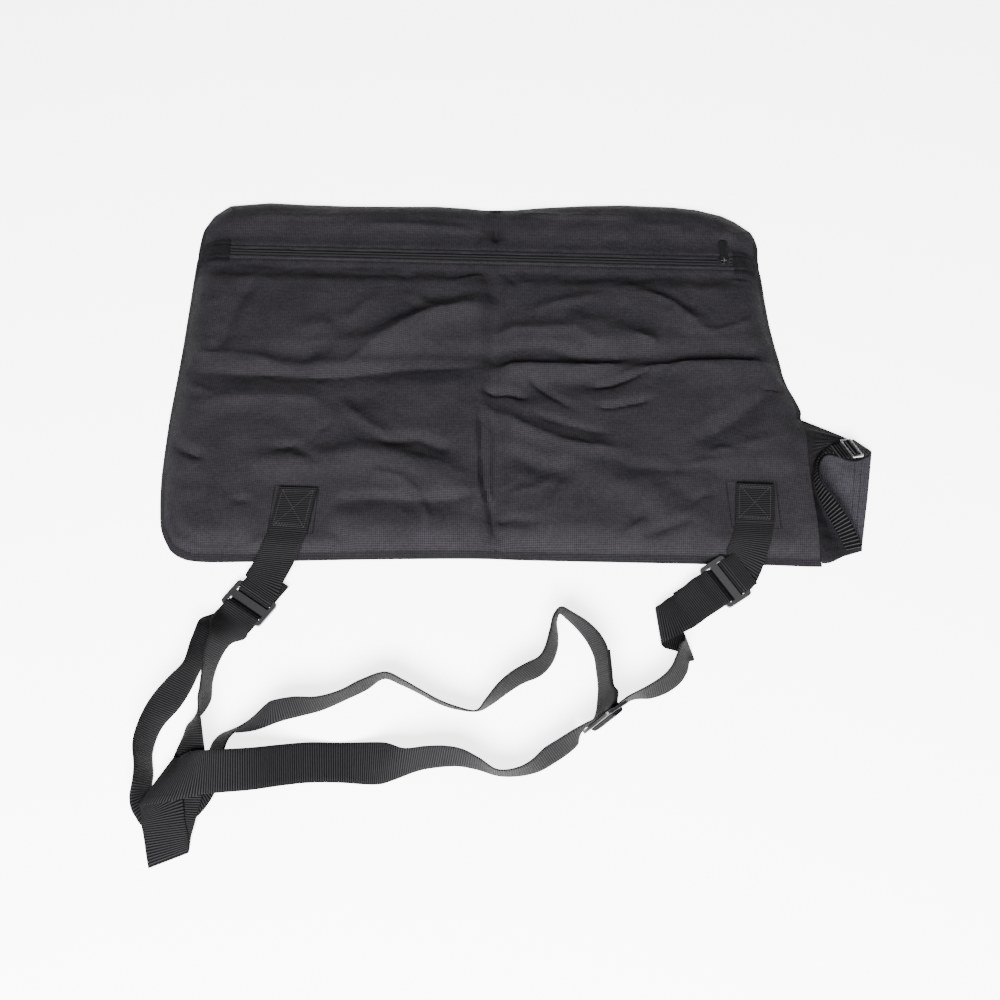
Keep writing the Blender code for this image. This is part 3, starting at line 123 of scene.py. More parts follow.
# Slide buckles
BUCKLE_THICKNESS = 0.0032
BUCKLE_SIDE_BAR = 0.0045
BUCKLE_SLOT = 0.0060
BUCKLE_MIDDLE_BAR = 0.0080
BUCKLE_LEVEL = 0.0072
SLOT_SLACK = 0.0003
# Free ends under the buckles, and where the loops round the side bars start
DOUBLED = 0.022
TAB_LOOP = 0.019
LEFT_LOOP = 0.022
RIGHT_LOOP = 0.026
RIGHT_LOOP_END = 0.049
RIGHT_TAIL_CUT = 0.0125
# Distance between the rings of the strips, and between the points of a stitched line
TAB_STEP = 0.0016
STRAP_STEP = 0.0018
TAIL_STEP = 0.0012
UNDER_STEP = 0.0010
STITCH_POINTS = 0.002

# Neck
NECK_EDGE_X = RIGHT + 0.022
NECK_TOP_Y = BOTTOM + 0.1705
SLEEVE = 0.0006
SLEEVE_LAP = 0.008
NECK_STRAP = 0.0012
NECK_BUCKLE_LENGTH = 0.0250
NECK_BUCKLE_THICKNESS = 0.0016
NECK_BUCKLE_SIDE_BAR = 0.0024
NECK_BUCKLE_SLOT = 0.0036
NECK_BUCKLE_MIDDLE_BAR = 0.0030
# Shares along the neck's rim and across its front layer
NECK_BUCKLE_PLACE = 0.79
NECK_BUCKLE_ACROSS = 0.85
NECK_STRAP_INNER = 0.72
NECK_STRAP_OUTER = 0.985
NECK_STRAP_NARROW = 0.12
NECK_TURN = 0.43
NECK_TURN_REACH = 0.2
HEM_START = 0.744
HEM_ROWS = (0.79, 0.88)
# Metres
HEM_FOLD = 0.0006
NECK_CORNER = 0.006
PLEAT = 0.0006
LOWER_SAG = 0.0075

# Finishes and stitches
SHEEN_TINT = (0.80, 0.76, 0.86, 1.0)
WEBBING_EDGE = 0.0172
FINE_THREAD = 0.00052
STITCH_SIDES = 6
STITCH_SHARE = 0.68
STITCH_SINK = 0.3
# Rings of one stitch: share of its half length, of its radius, and rise in radii
STITCH_RINGS = (
    (-1.0, 0.45, -1.1),
    (-0.72, 0.95, 0.0),
    (0.0, 1.0, 0.35),
    (0.72, 0.95, 0.0),
    (1.0, 0.45, -1.1),
)
# Places across a strip, and how thick it is at its edges and inside them
STRIP_SHARES = (-0.5, -0.482, -0.36, -0.24, -0.12, 0.0, 0.12, 0.24, 0.36, 0.482, 0.5)
STRIP_EDGE = 0.30

# Studio
CAMERA_PLACE = (0.025, -0.860, 1.216)
CAMERA_PITCH = math.radians(30.0)
CAMERA_LENS = 50.4
FLOOR_HALF = 6
FLOOR_DROP = 0.0002
FLOOR_GLOW = 3.5
WORLD_GLOW = 0.12
LIGHT_TARGET = (0.0, -0.1, 0.0)
# Place, width and length in metres, power in watts
SOFTBOXES = {
    "key": ((-0.15, -1.90, 1.60), (1.3, 0.8), 450.0),
    "top": ((0.3, 0.5, 2.6), (2.4, 1.6), 22.0),
}

# Creases of the part's source: start x, y, end x, y, height, half width
BROAD_CREASES = (
    (-0.160, 0.000, -0.035, 0.065, 0.0050, 0.022),
    (-0.035, 0.065, 0.010, 0.072, 0.0040, 0.020),
    (0.165, 0.085, 0.235, 0.045, 0.0045, 0.022),
    (0.110, 0.050, 0.180, 0.025, 0.0035, 0.020),
    (0.050, -0.035, 0.200, -0.015, -0.0050, 0.026),
    (-0.260, -0.060, -0.110, -0.045, -0.0035, 0.026),
    (-0.120, -0.110, 0.000, -0.165, 0.0040, 0.026),
    (0.090, -0.120, 0.200, -0.185, 0.0040, 0.026),
)

# Length over which a crease fades at its ends: share of its own length, and metres
CREASE_FADE = 0.22
CREASE_END = 0.006
# Creases from the packing, in millimetres: line, height, half width to the left and to the right
# of the line, and from 0 for a soft back to 1 for a crisp one
CREASES = (
    (((-142, -12), (-116, 11), (-79, 38), (-54, 54), (-35, 60), (6, 72)), 5, 20, 34, 0.8),
    (((-306, 4), (-294, 9), (-275, 8), (-243, 6), (-204, -3)), 4, 24, 16, 0.6),
    (((-304, -14), (-251, -14), (-199, -17), (-144, -20), (-78, -9), (11, -7)), -4.5, 14, 26, 0.6),
    (((-243, 108), (-261, 64), (-268, 27), (-283, 7)), -2.5, 16, 14, 0.5),
    (((-277, 136), (-250, 132), (-221, 125)), 2.2, 10, 16, 0.4),
    (((-146, 123), (-111, 125), (-78, 126)), 1.6, 12, 10, 0.4),
    (((-81, 89), (-65, 79), (-46, 64)), 1.8, 14, 9, 0.7),
    (((-23, 105), (-5, 111), (10, 119)), 1.6, 10, 10, 0.7),
    (((-139, 48), (-129, 59), (-107, 86)), 1.5, 12, 12, 0.5),
    (((-78, 128), (-74, 86), (-59, 64)), -1.4, 12, 12, 0.5),
    (((-192, 38), (-173, 43), (-152, 48)), 1.6, 22, 14, 0.2),
    (((-300, 70), (-288, 75), (-275, 81)), 1.2, 10, 10, 0.5),
    (((-260, 199), (-170, 197), (-141, 202)), 1.4, 12, 8, 0.4),
    (((-125, 188), (-57, 185), (-1, 178)), 1.4, 10, 8, 0.5),
    (((16, 205), (8, 182), (-1, 157)), -2, 7, 7, 0.9),
    (((-291, -56), (-259, -49), (-218, -47), (-169, -49), (-146, -61)), 3, 16, 30, 0.5),
    (((-140, -45), (-130, -64), (-109, -82), (-82, -100)), 2, 14, 8, 0.8),
    (((-100, -100), (-56, -98), (-23, -113)), -3, 12, 12, 0.4),
    (((-234, -126), (-164, -121), (-99, -116), (-33, -131), (2, -146)), 2.6, 18, 24, 0.3),
    (((-148, -169), (-97, -166), (-43, -169), (6, -166)), -3, 10, 24, 0.5),
    (((-107, -136), (-72, -146), (-54, -166), (-43, -196)), 2.2, 9, 14, 0.8),
    (((-147, -196), (-126, -213), (-109, -229)), -2.2, 9, 12, 0.7),
    (((-311, -98), (-294, -111), (-271, -122)), -3.2, 12, 10, 0.8),
    (((-299, -166), (-292, -201), (-263, -217), (-211, -214)), -2, 8, 8, 0.6),
    (((-211, -108), (-183, -106), (-151, -131)), -2, 9, 14, 0.5),
    (((-243, -169), (-219, -170), (-203, -184)), -1.6, 8, 10, 0.7),
    (((-168, -106), (-162, -90), (-147, -77)), -1.4, 8, 8, 0.6),
    (((-306, -28), (-282, -39), (-268, -45)), 1.5, 8, 8, 0.7),
    (((5, -53), (8, -146), (17, -181), (19, -205), (25, -225)), -2.6, 6, 9, 1),
    (((0, -58), (3, -146), (10, -181), (13, -205)), 1.2, 5, 8, 0.8),
    (((21, 205), (20, 155)), -2.4, 7, 7, 0.9),
    (((17, 132), (32, 120), (45, 92)), -1.6, 9, 9, 0.7),
    (((42, 208), (94, 199), (172, 199)), 1.8, 10, 8, 0.7),
    (((176, 190), (198, 184), (230, 186)), 1.2, 10, 8, 0.4),
    (((160, 187), (165, 175), (166, 167)), 1, 6, 6, 0.8),
    (((173, 88), (193, 80), (210, 70), (222, 56), (236, 43)), 2.6, 14, 8, 0.9),
    (((164, 32), (177, 25), (194, 20)), 2.2, 12, 7, 0.9),
    (((58, 62), (76, 70), (98, 76), (127, 83), (135, 81)), 2, 14, 10, 0.6),
    (((12, 35), (47, 38), (86, 40), (106, 38), (125, 24), (153, 20)), 2.6, 16, 12, 0.6),
    (((17, 15), (75, 20), (107, 8), (133, 4), (176, 8)), -2.2, 10, 14, 0.5),
    (((229, 40), (253, 36), (277, 43), (298, 54)), 1.4, 8, 10, 0.5),
    (((271, 178), (286, 169), (300, 155)), 1.4, 12, 12, 0.3),
    (((270, 115), (287, 106), (301, 108)), 1.2, 8, 8, 0.5),
    (((142, -26), (160, -17), (181, -10), (218, -6), (286, -5), (320, -10)), 4, 12, 34, 0.8),
    (((13, -10), (55, -8), (106, -10), (160, -6)), 3, 12, 20, 0.7),
    (((225, 101), (232, 78), (229, 62)), -1.2, 14, 14, 0.3),
    (((119, -33), (138, -30), (152, -25), (182, -11)), -3.4, 9, 9, 0.8),
    (((52, -16), (76, -42), (101, -63)), -2.4, 9, 8, 0.8),
    (((4, -35), (28, -39), (55, -48)), -3.4, 10, 9, 0.7),
    (((4, -55), (47, -84), (86, -103), (116, -110), (153, -113)), 3.6, 16, 16, 0.7),
    (((59, -67), (94, -81), (135, -92)), -2, 8, 10, 0.7),
    (((28, -112), (65, -131), (101, -136)), -2.6, 16, 20, 0.3),
    (((122, -60), (144, -59), (182, -50)), -2.2, 8, 8, 0.8),
    (((221, -105), (245, -87), (263, -73), (319, -30)), -3.6, 16, 26, 0.5),
    (((267, -109), (296, -98), (329, -92)), 1.8, 12, 12, 0.5),
    (((236, -117), (248, -110), (260, -112)), 1.6, 7, 7, 0.7),
    (((184, -131), (212, -129), (254, -123)), 1.2, 8, 8, 0.6),
    (((210, -176), (223, -165), (237, -160), (258, -157)), -1.8, 7, 9, 0.8),
    (((152, -131), (189, -133), (226, -128)), -1.6, 12, 14, 0.3),
    (((93, -144), (82, -165), (77, -191), (66, -227)), 1.8, 8, 10, 0.8),
    (((78, -143), (64, -155), (35, -163)), 1.4, 8, 10, 0.6),
    (((132, -224), (149, -207), (172, -189)), 2, 8, 12, 0.7),
    (((160, -210), (185, -201), (212, -191)), -2.2, 8, 10, 0.6),
    (((285, -229), (302, -219), (329, -214)), 1.6, 7, 9, 0.7),
    (((15, -84), (14, -155), (19, -186), (30, -209)), 1.4, 7, 7, 0.8),
    (((19, -189), (50, -192), (62, -196)), -2, 8, 14, 0.5),
    (((336, -73), (333, -139), (334, -191), (334, -234)), 1.6, 7, 10, 0.7),
    (((128, -155), (165, -149), (192, -165)), 1, 18, 18, 0.2),
)


class BagSizes(bpy.types.PropertyGroup):
    """Sizes of the bag's visible details."""

    crumple: bpy.props.FloatProperty(
        name="Crumple",
        description="Height of the small uneven waves in the front fabric",
        default=0.0011,
        unit="LENGTH",
    )
    crease_height: bpy.props.FloatProperty(
        name="Crease height",
        description="Share of each packing crease's own height",
        default=1.8,
        subtype="FACTOR",
    )
    weave_pitch: bpy.props.FloatProperty(
        name="Weave pitch",
        description="Distance between the thicker threads of the bag's fabric",
        default=0.0020,
        unit="LENGTH",
    )
    rib_pitch: bpy.props.FloatProperty(
        name="Rib pitch",
        description="Distance between the ribs across the webbing",
        default=0.0021,
        unit="LENGTH",
    )
    stitch_pitch: bpy.props.FloatProperty(
        name="Stitch pitch",
        description="Distance from one stitch to the next",
        default=0.0034,
        unit="LENGTH",
    )
    stitch_thickness: bpy.props.FloatProperty(
        name="Thread thickness",
        description="Thickness of the sewing thread",
        default=0.0006,
        unit="LENGTH",
    )
    coil_pitch: bpy.props.FloatProperty(
        name="Coil pitch",
        description="Distance between the turns of the zip's coil",
        default=0.0013,
        unit="LENGTH",
    )
    lip: bpy.props.FloatProperty(
        name="Zip lip",
        description="Distance from the zip's middle line to the folded fabric beside it",
        default=0.0050,
        unit="LENGTH",
    )


class BagColours(bpy.types.PropertyGroup):
    """Colours of the bag's finishes."""

    fabric: bpy.props.FloatVectorProperty(
        name="Bag fabric",
        description="Coated polyester of the panels",
        default=(0.0078, 0.0073, 0.0084),
        subtype="COLOR",
    )
    inner: bpy.props.FloatVectorProperty(
        name="Inner fabric",
        description="Uncoated side of the fabric, seen at the neck",
        default=(0.0148, 0.0139, 0.0166),
        subtype="COLOR",
    )
    webbing: bpy.props.FloatVectorProperty(
        name="Webbing",
        description="Polypropylene webbing of the straps",
        default=(0.0044, 0.0043, 0.0046),
        subtype="COLOR",
    )
    tape: bpy.props.FloatVectorProperty(
        name="Zip tape",
        description="Woven tape of the zip",
        default=(0.0105, 0.0098, 0.0112),
        subtype="COLOR",
    )
    plastic: bpy.props.FloatVectorProperty(
        name="Buckle plastic",
        description="Glossy plastic of the slide buckles",
        default=(0.0030, 0.0030, 0.0034),
        subtype="COLOR",
    )
    steel: bpy.props.FloatVectorProperty(
        name="Buckle steel",
        description="Plated steel of the neck buckle",
        default=(0.46, 0.46, 0.48),
        subtype="COLOR",
    )
    floor: bpy.props.FloatVectorProperty(
        name="Floor",
        description="Pale studio floor",
        default=(0.92, 0.92, 0.915),
        subtype="COLOR",
    )


# Node helpers


def finish_nodes(name):
    """New node material with its tree and its shader."""
    made = bpy.data.materials.new(name)
    made.use_nodes = True
    return made, made.node_tree, made.node_tree.nodes["Principled BSDF"]


def node(tree, kind, inputs=(), **settings):
    """Node with its settings; inputs are index or name, and a value or a socket."""
    made = tree.nodes.new(kind)
    for key, value in settings.items():
        setattr(made, key, value)
    for key, value in inputs:
        if isinstance(value, bpy.types.NodeSocket):
            tree.links.new(value, made.inputs[key])
        else:
            made.inputs[key].default_value = value
    return made


def maths(tree, operation, a, b=0.0, c=0.5):
    """Result of one Math node; c only counts where b is multiplied and c is added."""
    return node(tree, "ShaderNodeMath", ((0, a), (1, b), (2, c)), operation=operation).outputs[0]


def mapped(tree, value, *ends):
    """Value moved to another range: sockets 1 and 2 are its old ends, 3 and 4 its new ones."""
    return node(tree, "ShaderNodeMapRange", ((0, value), *ends)).outputs[0]


def set_all(shader, **values):
    """Numbers and colours that are the same all over, on the shader's own sockets."""
    for key, value in values.items():
        shader.inputs[key.replace("_", " ")].default_value = value


def drive(tree, shader, key, value):
    """Let a value steer one socket of the shader."""
    tree.links.new(value, shader.inputs[key])


def ripple(tree, value, pitch, power=1.0):
    """Repeating bands from 0 to 1 along a length in metres."""
    turn = maths(tree, "MULTIPLY", value, 2.0 * math.pi / pitch)
    wave = maths(tree, "MULTIPLY_ADD", maths(tree, "SINE", turn), 0.5, 0.5)
    return wave if power == 1.0 else maths(tree, "POWER", wave, power)


def clouds(tree, scale, detail=3.0, place=None):
    """Noise value over the piece's own space."""
    place = place or node(tree, "ShaderNodeTexCoord").outputs["Object"]
    made = node(
        tree, "ShaderNodeTexNoise", (("Vector", place), ("Scale", scale), ("Detail", detail))
    )
    return made.outputs["Fac"]


def blend_colours(tree, share, a, b):
    """Colour between two colours by a share."""
    made = node(tree, "ShaderNodeMix", ((0, share),), data_type="RGBA")
    for index, colour in ((6, a), (7, b)):
        if isinstance(colour, bpy.types.NodeSocket):
            tree.links.new(colour, made.inputs[index])
        else:
            made.inputs[index].default_value = (*colour, 1.0)
    return made.outputs[2]


def shade(colour, factor):
    """Colour made lighter or darker."""
    return tuple(min(1.0, channel * factor) for channel in colour)


def bump(tree, shader, height, distance, strength):
    """Bump from a height value."""
    inputs = (("Height", height), ("Distance", distance), ("Strength", strength))
    drive(tree, shader, "Normal", node(tree, "ShaderNodeBump", inputs).outputs[0])


def along_across(tree):
    """The strip's own length and width in metres, kept on its points."""
    along = node(tree, "ShaderNodeAttribute", attribute_name="along")
    across = node(tree, "ShaderNodeAttribute", attribute_name="across")
    return along.outputs["Fac"], across.outputs["Fac"]


def fabric_finish(name, colour, roughness, sheen):
    """Plain weave with a grid of thicker threads, faint clouds and a soft coated sheen."""
    made, tree, shader = finish_nodes(name)
    pitch = bpy.context.scene.bag_sizes.weave_pitch
    place = node(tree, "ShaderNodeTexCoord").outputs["Object"]
    split = node(tree, "ShaderNodeSeparateXYZ", ((0, place),))
    warp = ripple(tree, split.outputs[0], pitch, 5.0)
    weft = ripple(tree, split.outputs[1], pitch * 0.93, 5.0)
    grid = maths(tree, "MAXIMUM", warp, weft)
    fine = [ripple(tree, split.outputs[k], FINE_THREAD) for k in (0, 1)]
    fine = maths(tree, "MULTIPLY", *fine)
    slubs = clouds(tree, 420.0, 3.0)
    broad = clouds(tree, 14.0, 4.0)
    rubbed = mapped(tree, clouds(tree, 26.0, 4.0), (1, 0.30), (2, 0.66), (3, 0.50))
    shown = maths(tree, "MULTIPLY", grid, rubbed)
    light = blend_colours(tree, shown, shade(colour, 0.62), shade(colour, 3.5))
    patchy = mapped(tree, slubs, (1, 0.35), (2, 0.65))
    uneven = blend_colours(tree, patchy, shade(colour, 0.40), shade(colour, 1.7))
    woven = blend_colours(tree, 0.40, light, uneven)
    dusty = blend_colours(tree, broad, woven, shade(colour, 1.18))
    drive(tree, shader, "Base Color", blend_colours(tree, 0.30, woven, dusty))
    rough = mapped(tree, broad, (3, roughness - 0.05), (4, roughness + 0.07))
    drive(tree, shader, "Roughness", rough)
    relief = maths(tree, "MULTIPLY", grid, 0.6)
    relief = maths(tree, "ADD", relief, maths(tree, "MULTIPLY", fine, 0.4))
    relief = maths(tree, "ADD", relief, maths(tree, "MULTIPLY", slubs, 0.3))
    crinkles = maths(tree, "MULTIPLY", clouds(tree, 70.0, 5.0), 9.0)
    bump(tree, shader, maths(tree, "ADD", relief, crinkles), 0.00020, 0.9)
    set_all(shader, Sheen_Weight=sheen, Sheen_Roughness=0.45, Sheen_Tint=SHEEN_TINT)
    set_all(shader, Specular_IOR_Level=0.008)
    return made


def webbing_finish(name, colour, pitch, contrast, narrow=1.0):
    """Ribs across the strap, small threads along it, a denser edge and worn high ribs."""
    made, tree, shader = finish_nodes(name)
    along, across = along_across(tree)
    ribs = ripple(tree, along, pitch, narrow)
    threads = ripple(tree, across, 0.0011)
    fuzz = clouds(tree, 1400.0, 2.0)
    relief = maths(tree, "MULTIPLY", ribs, maths(tree, "MULTIPLY_ADD", threads, 0.35, 0.65))
    peak = maths(tree, "POWER", relief, 1.6)
    body = blend_colours(tree, peak, shade(colour, 0.15), shade(colour, contrast))
    worn = blend_colours(tree, maths(tree, "MULTIPLY", fuzz, 0.35), body, shade(colour, 0.7))
    drive(tree, shader, "Base Color", worn)
    edge = maths(tree, "GREATER_THAN", maths(tree, "ABSOLUTE", across), WEBBING_EDGE)
    drive(tree, shader, "Roughness", mapped(tree, fuzz, (3, 0.52), (4, 0.74)))
    height = maths(tree, "ADD", relief, maths(tree, "MULTIPLY", edge, 0.35))
    height = maths(tree, "ADD", height, maths(tree, "MULTIPLY", fuzz, 0.2))
    bump(tree, shader, height, 0.00035, 0.85)
    set_all(shader, Sheen_Weight=0.002, Sheen_Roughness=0.5, Specular_IOR_Level=0.012)
    return made


def tape_finish(name, colour):
    """Zip tape with lines along it and small crossing threads."""
    made, tree, shader = finish_nodes(name)
    place = node(tree, "ShaderNodeTexCoord").outputs["Object"]
    split = node(tree, "ShaderNodeSeparateXYZ", ((0, place),))
    lines = ripple(tree, split.outputs[1], 0.0011)
    cross = ripple(tree, split.outputs[0], 0.0009)
    woven = maths(tree, "MULTIPLY", lines, maths(tree, "MULTIPLY_ADD", cross, 0.5, 0.5))
    dust = maths(tree, "MULTIPLY", clouds(tree, 120.0), 0.4)
    base = blend_colours(tree, woven, shade(colour, 0.6), shade(colour, 1.7))
    drive(tree, shader, "Base Color", blend_colours(tree, dust, base, colour))
    set_all(shader, Roughness=0.72, Sheen_Weight=0.002, Sheen_Tint=SHEEN_TINT)
    set_all(shader, Specular_IOR_Level=0.02)
    bump(tree, shader, woven, 0.00018, 0.7)
    return made


def plastic_finish(name, colour, roughness, coat=0.0, glint=0.5):
    """Moulded plastic or enamel: faint flow marks, rubbed edges and small scratches."""
    made, tree, shader = finish_nodes(name)
    marks = clouds(tree, 260.0, 4.0)
    scratches = clouds(tree, 2200.0, 1.0)
    edge = node(tree, "ShaderNodeNewGeometry").outputs["Pointiness"]
    rub = maths(tree, "MULTIPLY", mapped(tree, edge, (1, 0.52), (2, 0.62)), 0.5)
    tint = blend_colours(tree, marks, shade(colour, 0.8), shade(colour, 1.35))
    drive(tree, shader, "Base Color", blend_colours(tree, rub, tint, shade(colour, 3.2)))
    rough = mapped(tree, marks, (3, roughness - 0.05), (4, roughness + 0.10))
    drive(tree, shader, "Roughness", rough)
    height = maths(tree, "ADD", marks, maths(tree, "MULTIPLY", scratches, 0.4))
    bump(tree, shader, height, 0.00004, 0.5)
    set_all(shader, Specular_IOR_Level=glint, Coat_Weight=coat, Coat_Roughness=0.15)
    return made


def steel_finish(name, colour):
    """Plated steel wire and sheet: fine brushed lines and dull patches."""
    made, tree, shader = finish_nodes(name)
    place = node(tree, "ShaderNodeTexCoord").outputs["Object"]
    stretched = node(tree, "ShaderNodeMapping", ((0, place), (3, (3000.0, 300.0, 300.0))))
    lines = clouds(tree, 1.0, 2.0, stretched.outputs[0])
    patches = clouds(tree, 300.0)
    tint = blend_colours(tree, patches, shade(colour, 0.75), shade(colour, 1.1))
    drive(tree, shader, "Base Color", tint)
    drive(tree, shader, "Roughness", mapped(tree, lines, (3, 0.18), (4, 0.38)))
    set_all(shader, Metallic=1.0)
    bump(tree, shader, lines, 0.00003, 0.5)
    return made


def thread_finish(name, colour):
    """Twisted sewing thread."""
    made, tree, shader = finish_nodes(name)
    twist = clouds(tree, 2500.0, 1.0)
    tint = blend_colours(tree, twist, shade(colour, 0.6), shade(colour, 1.6))
    drive(tree, shader, "Base Color", tint)
    set_all(shader, Roughness=0.55, Sheen_Weight=0.002, Specular_IOR_Level=0.05)
    bump(tree, shader, twist, 0.0001, 0.6)
    return made


def finish_named(name):
    """The bag's finish with that name, made when first asked for."""
    found = bpy.data.materials.get("bag_" + name)
    if found:
        return found
    hue = bpy.context.scene.bag_colours
    sizes = bpy.context.scene.bag_sizes
    makers = {
        "fabric": lambda n: fabric_finish(n, hue.fabric, 0.56, 0.001),
        # Darker copy of the fabric: the end covers' own colour, and painted shade where it goes on
        # the rim and on the neck sleeve's outer side
        "cover": lambda n: fabric_finish(n, shade(hue.fabric, 0.58), 0.60, 0.001),
        "inner": lambda n: fabric_finish(n, hue.inner, 0.66, 0.003),
        "webbing": lambda n: webbing_finish(n, hue.webbing, sizes.rib_pitch, 4.6),
        "neck_webbing": lambda n: webbing_finish(n, hue.webbing, 0.0036, 8.0, 5.0),
        "tape": lambda n: tape_finish(n, hue.tape),
        "coil": lambda n: plastic_finish(n, hue.plastic, 0.62, 0.0, 0.10),
        "plastic": lambda n: plastic_finish(n, hue.plastic, 0.30, 0.10),
        "enamel": lambda n: plastic_finish(n, shade(hue.plastic, 0.9), 0.26, 0.25),
        "steel": lambda n: steel_finish(n, hue.steel),
        "thread": lambda n: thread_finish(n, shade(hue.webbing, 0.5)),
        "pale_thread": lambda n: thread_finish(n, shade(hue.fabric, 2.2)),
    }
    return makers[name]("bag_" + name)


def refinish(node_name, finish):
    """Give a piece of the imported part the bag's finish with that name."""
    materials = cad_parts[node_name].data.materials
    materials.clear()
    materials.append(finish_named(finish))


# Mesh helpers


def new_piece(name, verts, faces, finish, body="bag", smooth=45):
    """Mesh piece that rides on a body and has one finish."""
    mesh = bpy.data.meshes.new(name)
    mesh.from_pydata([tuple(v) for v in verts], [], faces)
    work = bmesh.new()
    work.from_mesh(mesh)
    bmesh.ops.recalc_face_normals(work, faces=work.faces)
    work.to_mesh(mesh)
    work.free()
    mesh.materials.append(finish_named(finish))
    mesh.shade_smooth()
    mesh.set_sharp_from_angle(angle=math.radians(smooth))
    item = bpy.data.objects.new(name, mesh)
    bpy.context.scene.collection.objects.link(item)
    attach(item, body)
    return item


def grid_faces(rows, cols, start=0, flip=False):
    """Quads of a grid of points."""
    faces = []
    for j in range(rows - 1):
        for i in range(cols - 1):
            a = start + j * cols + i
            quad = (a, a + 1, a + cols + 1, a + cols)
            faces.append(quad[::-1] if flip else quad)
    return faces


def ring_faces(rings, size, start=0):
    """Quads between closed rings of points."""
    faces = []
    for row in range(rings - 1):
        for i in range(size):
            a, b = start + row * size + i, start + row * size + (i + 1) % size
            faces.append((a, b, b + size, a + size))
    return faces


def end_faces(rings, size, start=0):
    """Faces that close the first and the last ring."""
    last = start + (rings - 1) * size
    return [tuple(range(start, start + size)), tuple(range(last, last + size))]


def shell(name, under, over, finish):
    """Closed sheet between two point grids, given as arrays of rows, columns and x, y, z."""
    rows, cols = under.shape[:2]
    lift = rows * cols
    verts = np.concatenate((under.reshape(-1, 3), over.reshape(-1, 3)))
    faces = grid_faces(rows, cols, 0, True) + grid_faces(rows, cols, lift)
    ring = list(range(cols))
    ring += [j * cols + cols - 1 for j in range(1, rows)]
    ring += [(rows - 1) * cols + i for i in range(cols - 2, -1, -1)]
    ring += [j * cols for j in range(rows - 2, 0, -1)]
    for a, b in zip(ring, ring[1:] + ring[:1]):
        faces.append((a, b, b + lift, a + lift))
    return new_piece(name, verts, faces, finish)


def ease(t):
    """Smooth step from 0 to 1, for numbers and arrays."""
    t = np.clip(t, 0.0, 1.0)
    return t * t * (3.0 - 2.0 * t)


def mix(a, b, t):
    """Straight blend."""
    return a + (b - a) * t


def bead(away, place, width):
    """Round ridge of height 1 at a place."""
    return np.exp(-(((away - place) / width) ** 2))


# Outline of the body, as in the part's source

BOTTOM_LEFT = (LEFT + 0.014, BOTTOM + 0.014)
TOP_LEFT = (LEFT + 0.015, TOP - 0.017)
TOP_RIGHT = (RIGHT - 0.024, TOP - 0.025)
BOTTOM_RIGHT = (RIGHT + 0.025, BOTTOM - 0.005)
BOTTOM_EDGE = [
    BOTTOM_LEFT,
    (LEFT + 0.022, BOTTOM + 0.006),
    (LEFT + 0.040, BOTTOM - 0.0005),
    (LEFT + 0.098, BOTTOM + 0.0005),
    (LEFT + 0.200, BOTTOM + 0.003),
    (-0.016, BOTTOM + 0.004),
    (FOLD_X, BOTTOM + 0.0035),
    (0.045, BOTTOM + 0.002),
    (RIGHT - 0.094, BOTTOM - 0.002),
    (RIGHT - 0.026, BOTTOM - 0.003),
    (RIGHT + 0.012, BOTTOM - 0.005),
    BOTTOM_RIGHT,
]
LEFT_EDGE = [
    BOTTOM_LEFT,
    (LEFT + 0.003, BOTTOM + 0.034),
    (LEFT - 0.0015, BOTTOM + 0.070),
    (LEFT - 0.0035, BOTTOM + 0.100),
    (LEFT - 0.0035, BOTTOM + 0.165),
    (LEFT, BOTTOM + 0.240),
    (LEFT + 0.001, TOP - 0.170),
    (LEFT + 0.002, TOP - 0.105),
    (LEFT + 0.003, TOP - 0.067),
    (LEFT + 0.005, TOP - 0.038),
    TOP_LEFT,
]
TOP_EDGE = [
    TOP_LEFT,
    (LEFT + 0.020, TOP - 0.012),
    (LEFT + 0.032, TOP - 0.001),
    (LEFT + 0.077, TOP + 0.0035),
    (LEFT + 0.141, TOP - 0.001),
    (LEFT + 0.205, TOP - 0.002),
    (LEFT + 0.268, TOP - 0.002),
    (-0.012, TOP - 0.005),
    (FOLD_X, TOP - 0.0095),
    (0.072, TOP - 0.004),
    (0.121, TOP - 0.001),
    (0.165, TOP),
    (RIGHT - 0.093, TOP - 0.003),
    (RIGHT - 0.066, TOP - 0.007),
    (RIGHT - 0.038, TOP - 0.016),
    TOP_RIGHT,
]
RIGHT_EDGE = [
    BOTTOM_RIGHT,
    (NECK_EDGE_X, BOTTOM + 0.004),
    (RIGHT + 0.0200, BOTTOM + 0.0625),
    (RIGHT + 0.0200, BOTTOM + 0.1025),
    (NECK_EDGE_X, NECK_TOP_Y - 0.003),
    (RIGHT + 0.0245, NECK_TOP_Y + 0.003),
    (RIGHT + 0.0190, NECK_TOP_Y + 0.020),
    (RIGHT + 0.0100, NECK_TOP_Y + 0.042),
    (RIGHT + 0.0080, NECK_TOP_Y + 0.066),
    (RIGHT + 0.0030, NECK_TOP_Y + 0.098),
    (RIGHT, TOP - 0.150),
    (RIGHT - 0.001, TOP - 0.110),
    (RIGHT - 0.003, TOP - 0.082),
    (RIGHT - 0.001, TOP - 0.064),
    (RIGHT - 0.003, TOP - 0.052),
    (RIGHT - 0.0065, TOP - 0.041),
    TOP_RIGHT,
]
SEALED = RIGHT_EDGE[4:] + TOP_EDGE[::-1][1:] + LEFT_EDGE[::-1][1:] + BOTTOM_EDGE[1:]


def rounded_chain(chain):
    """The chain with its inner corners cut twice, which rounds them."""
    points = [np.array(p, float) for p in chain]
    for _ in range(2):
        cut = [points[0]]
        for a, b in zip(points, points[1:]):
            cut += [a * 0.75 + b * 0.25, a * 0.25 + b * 0.75]
        points = cut + [points[-1]]
    return points


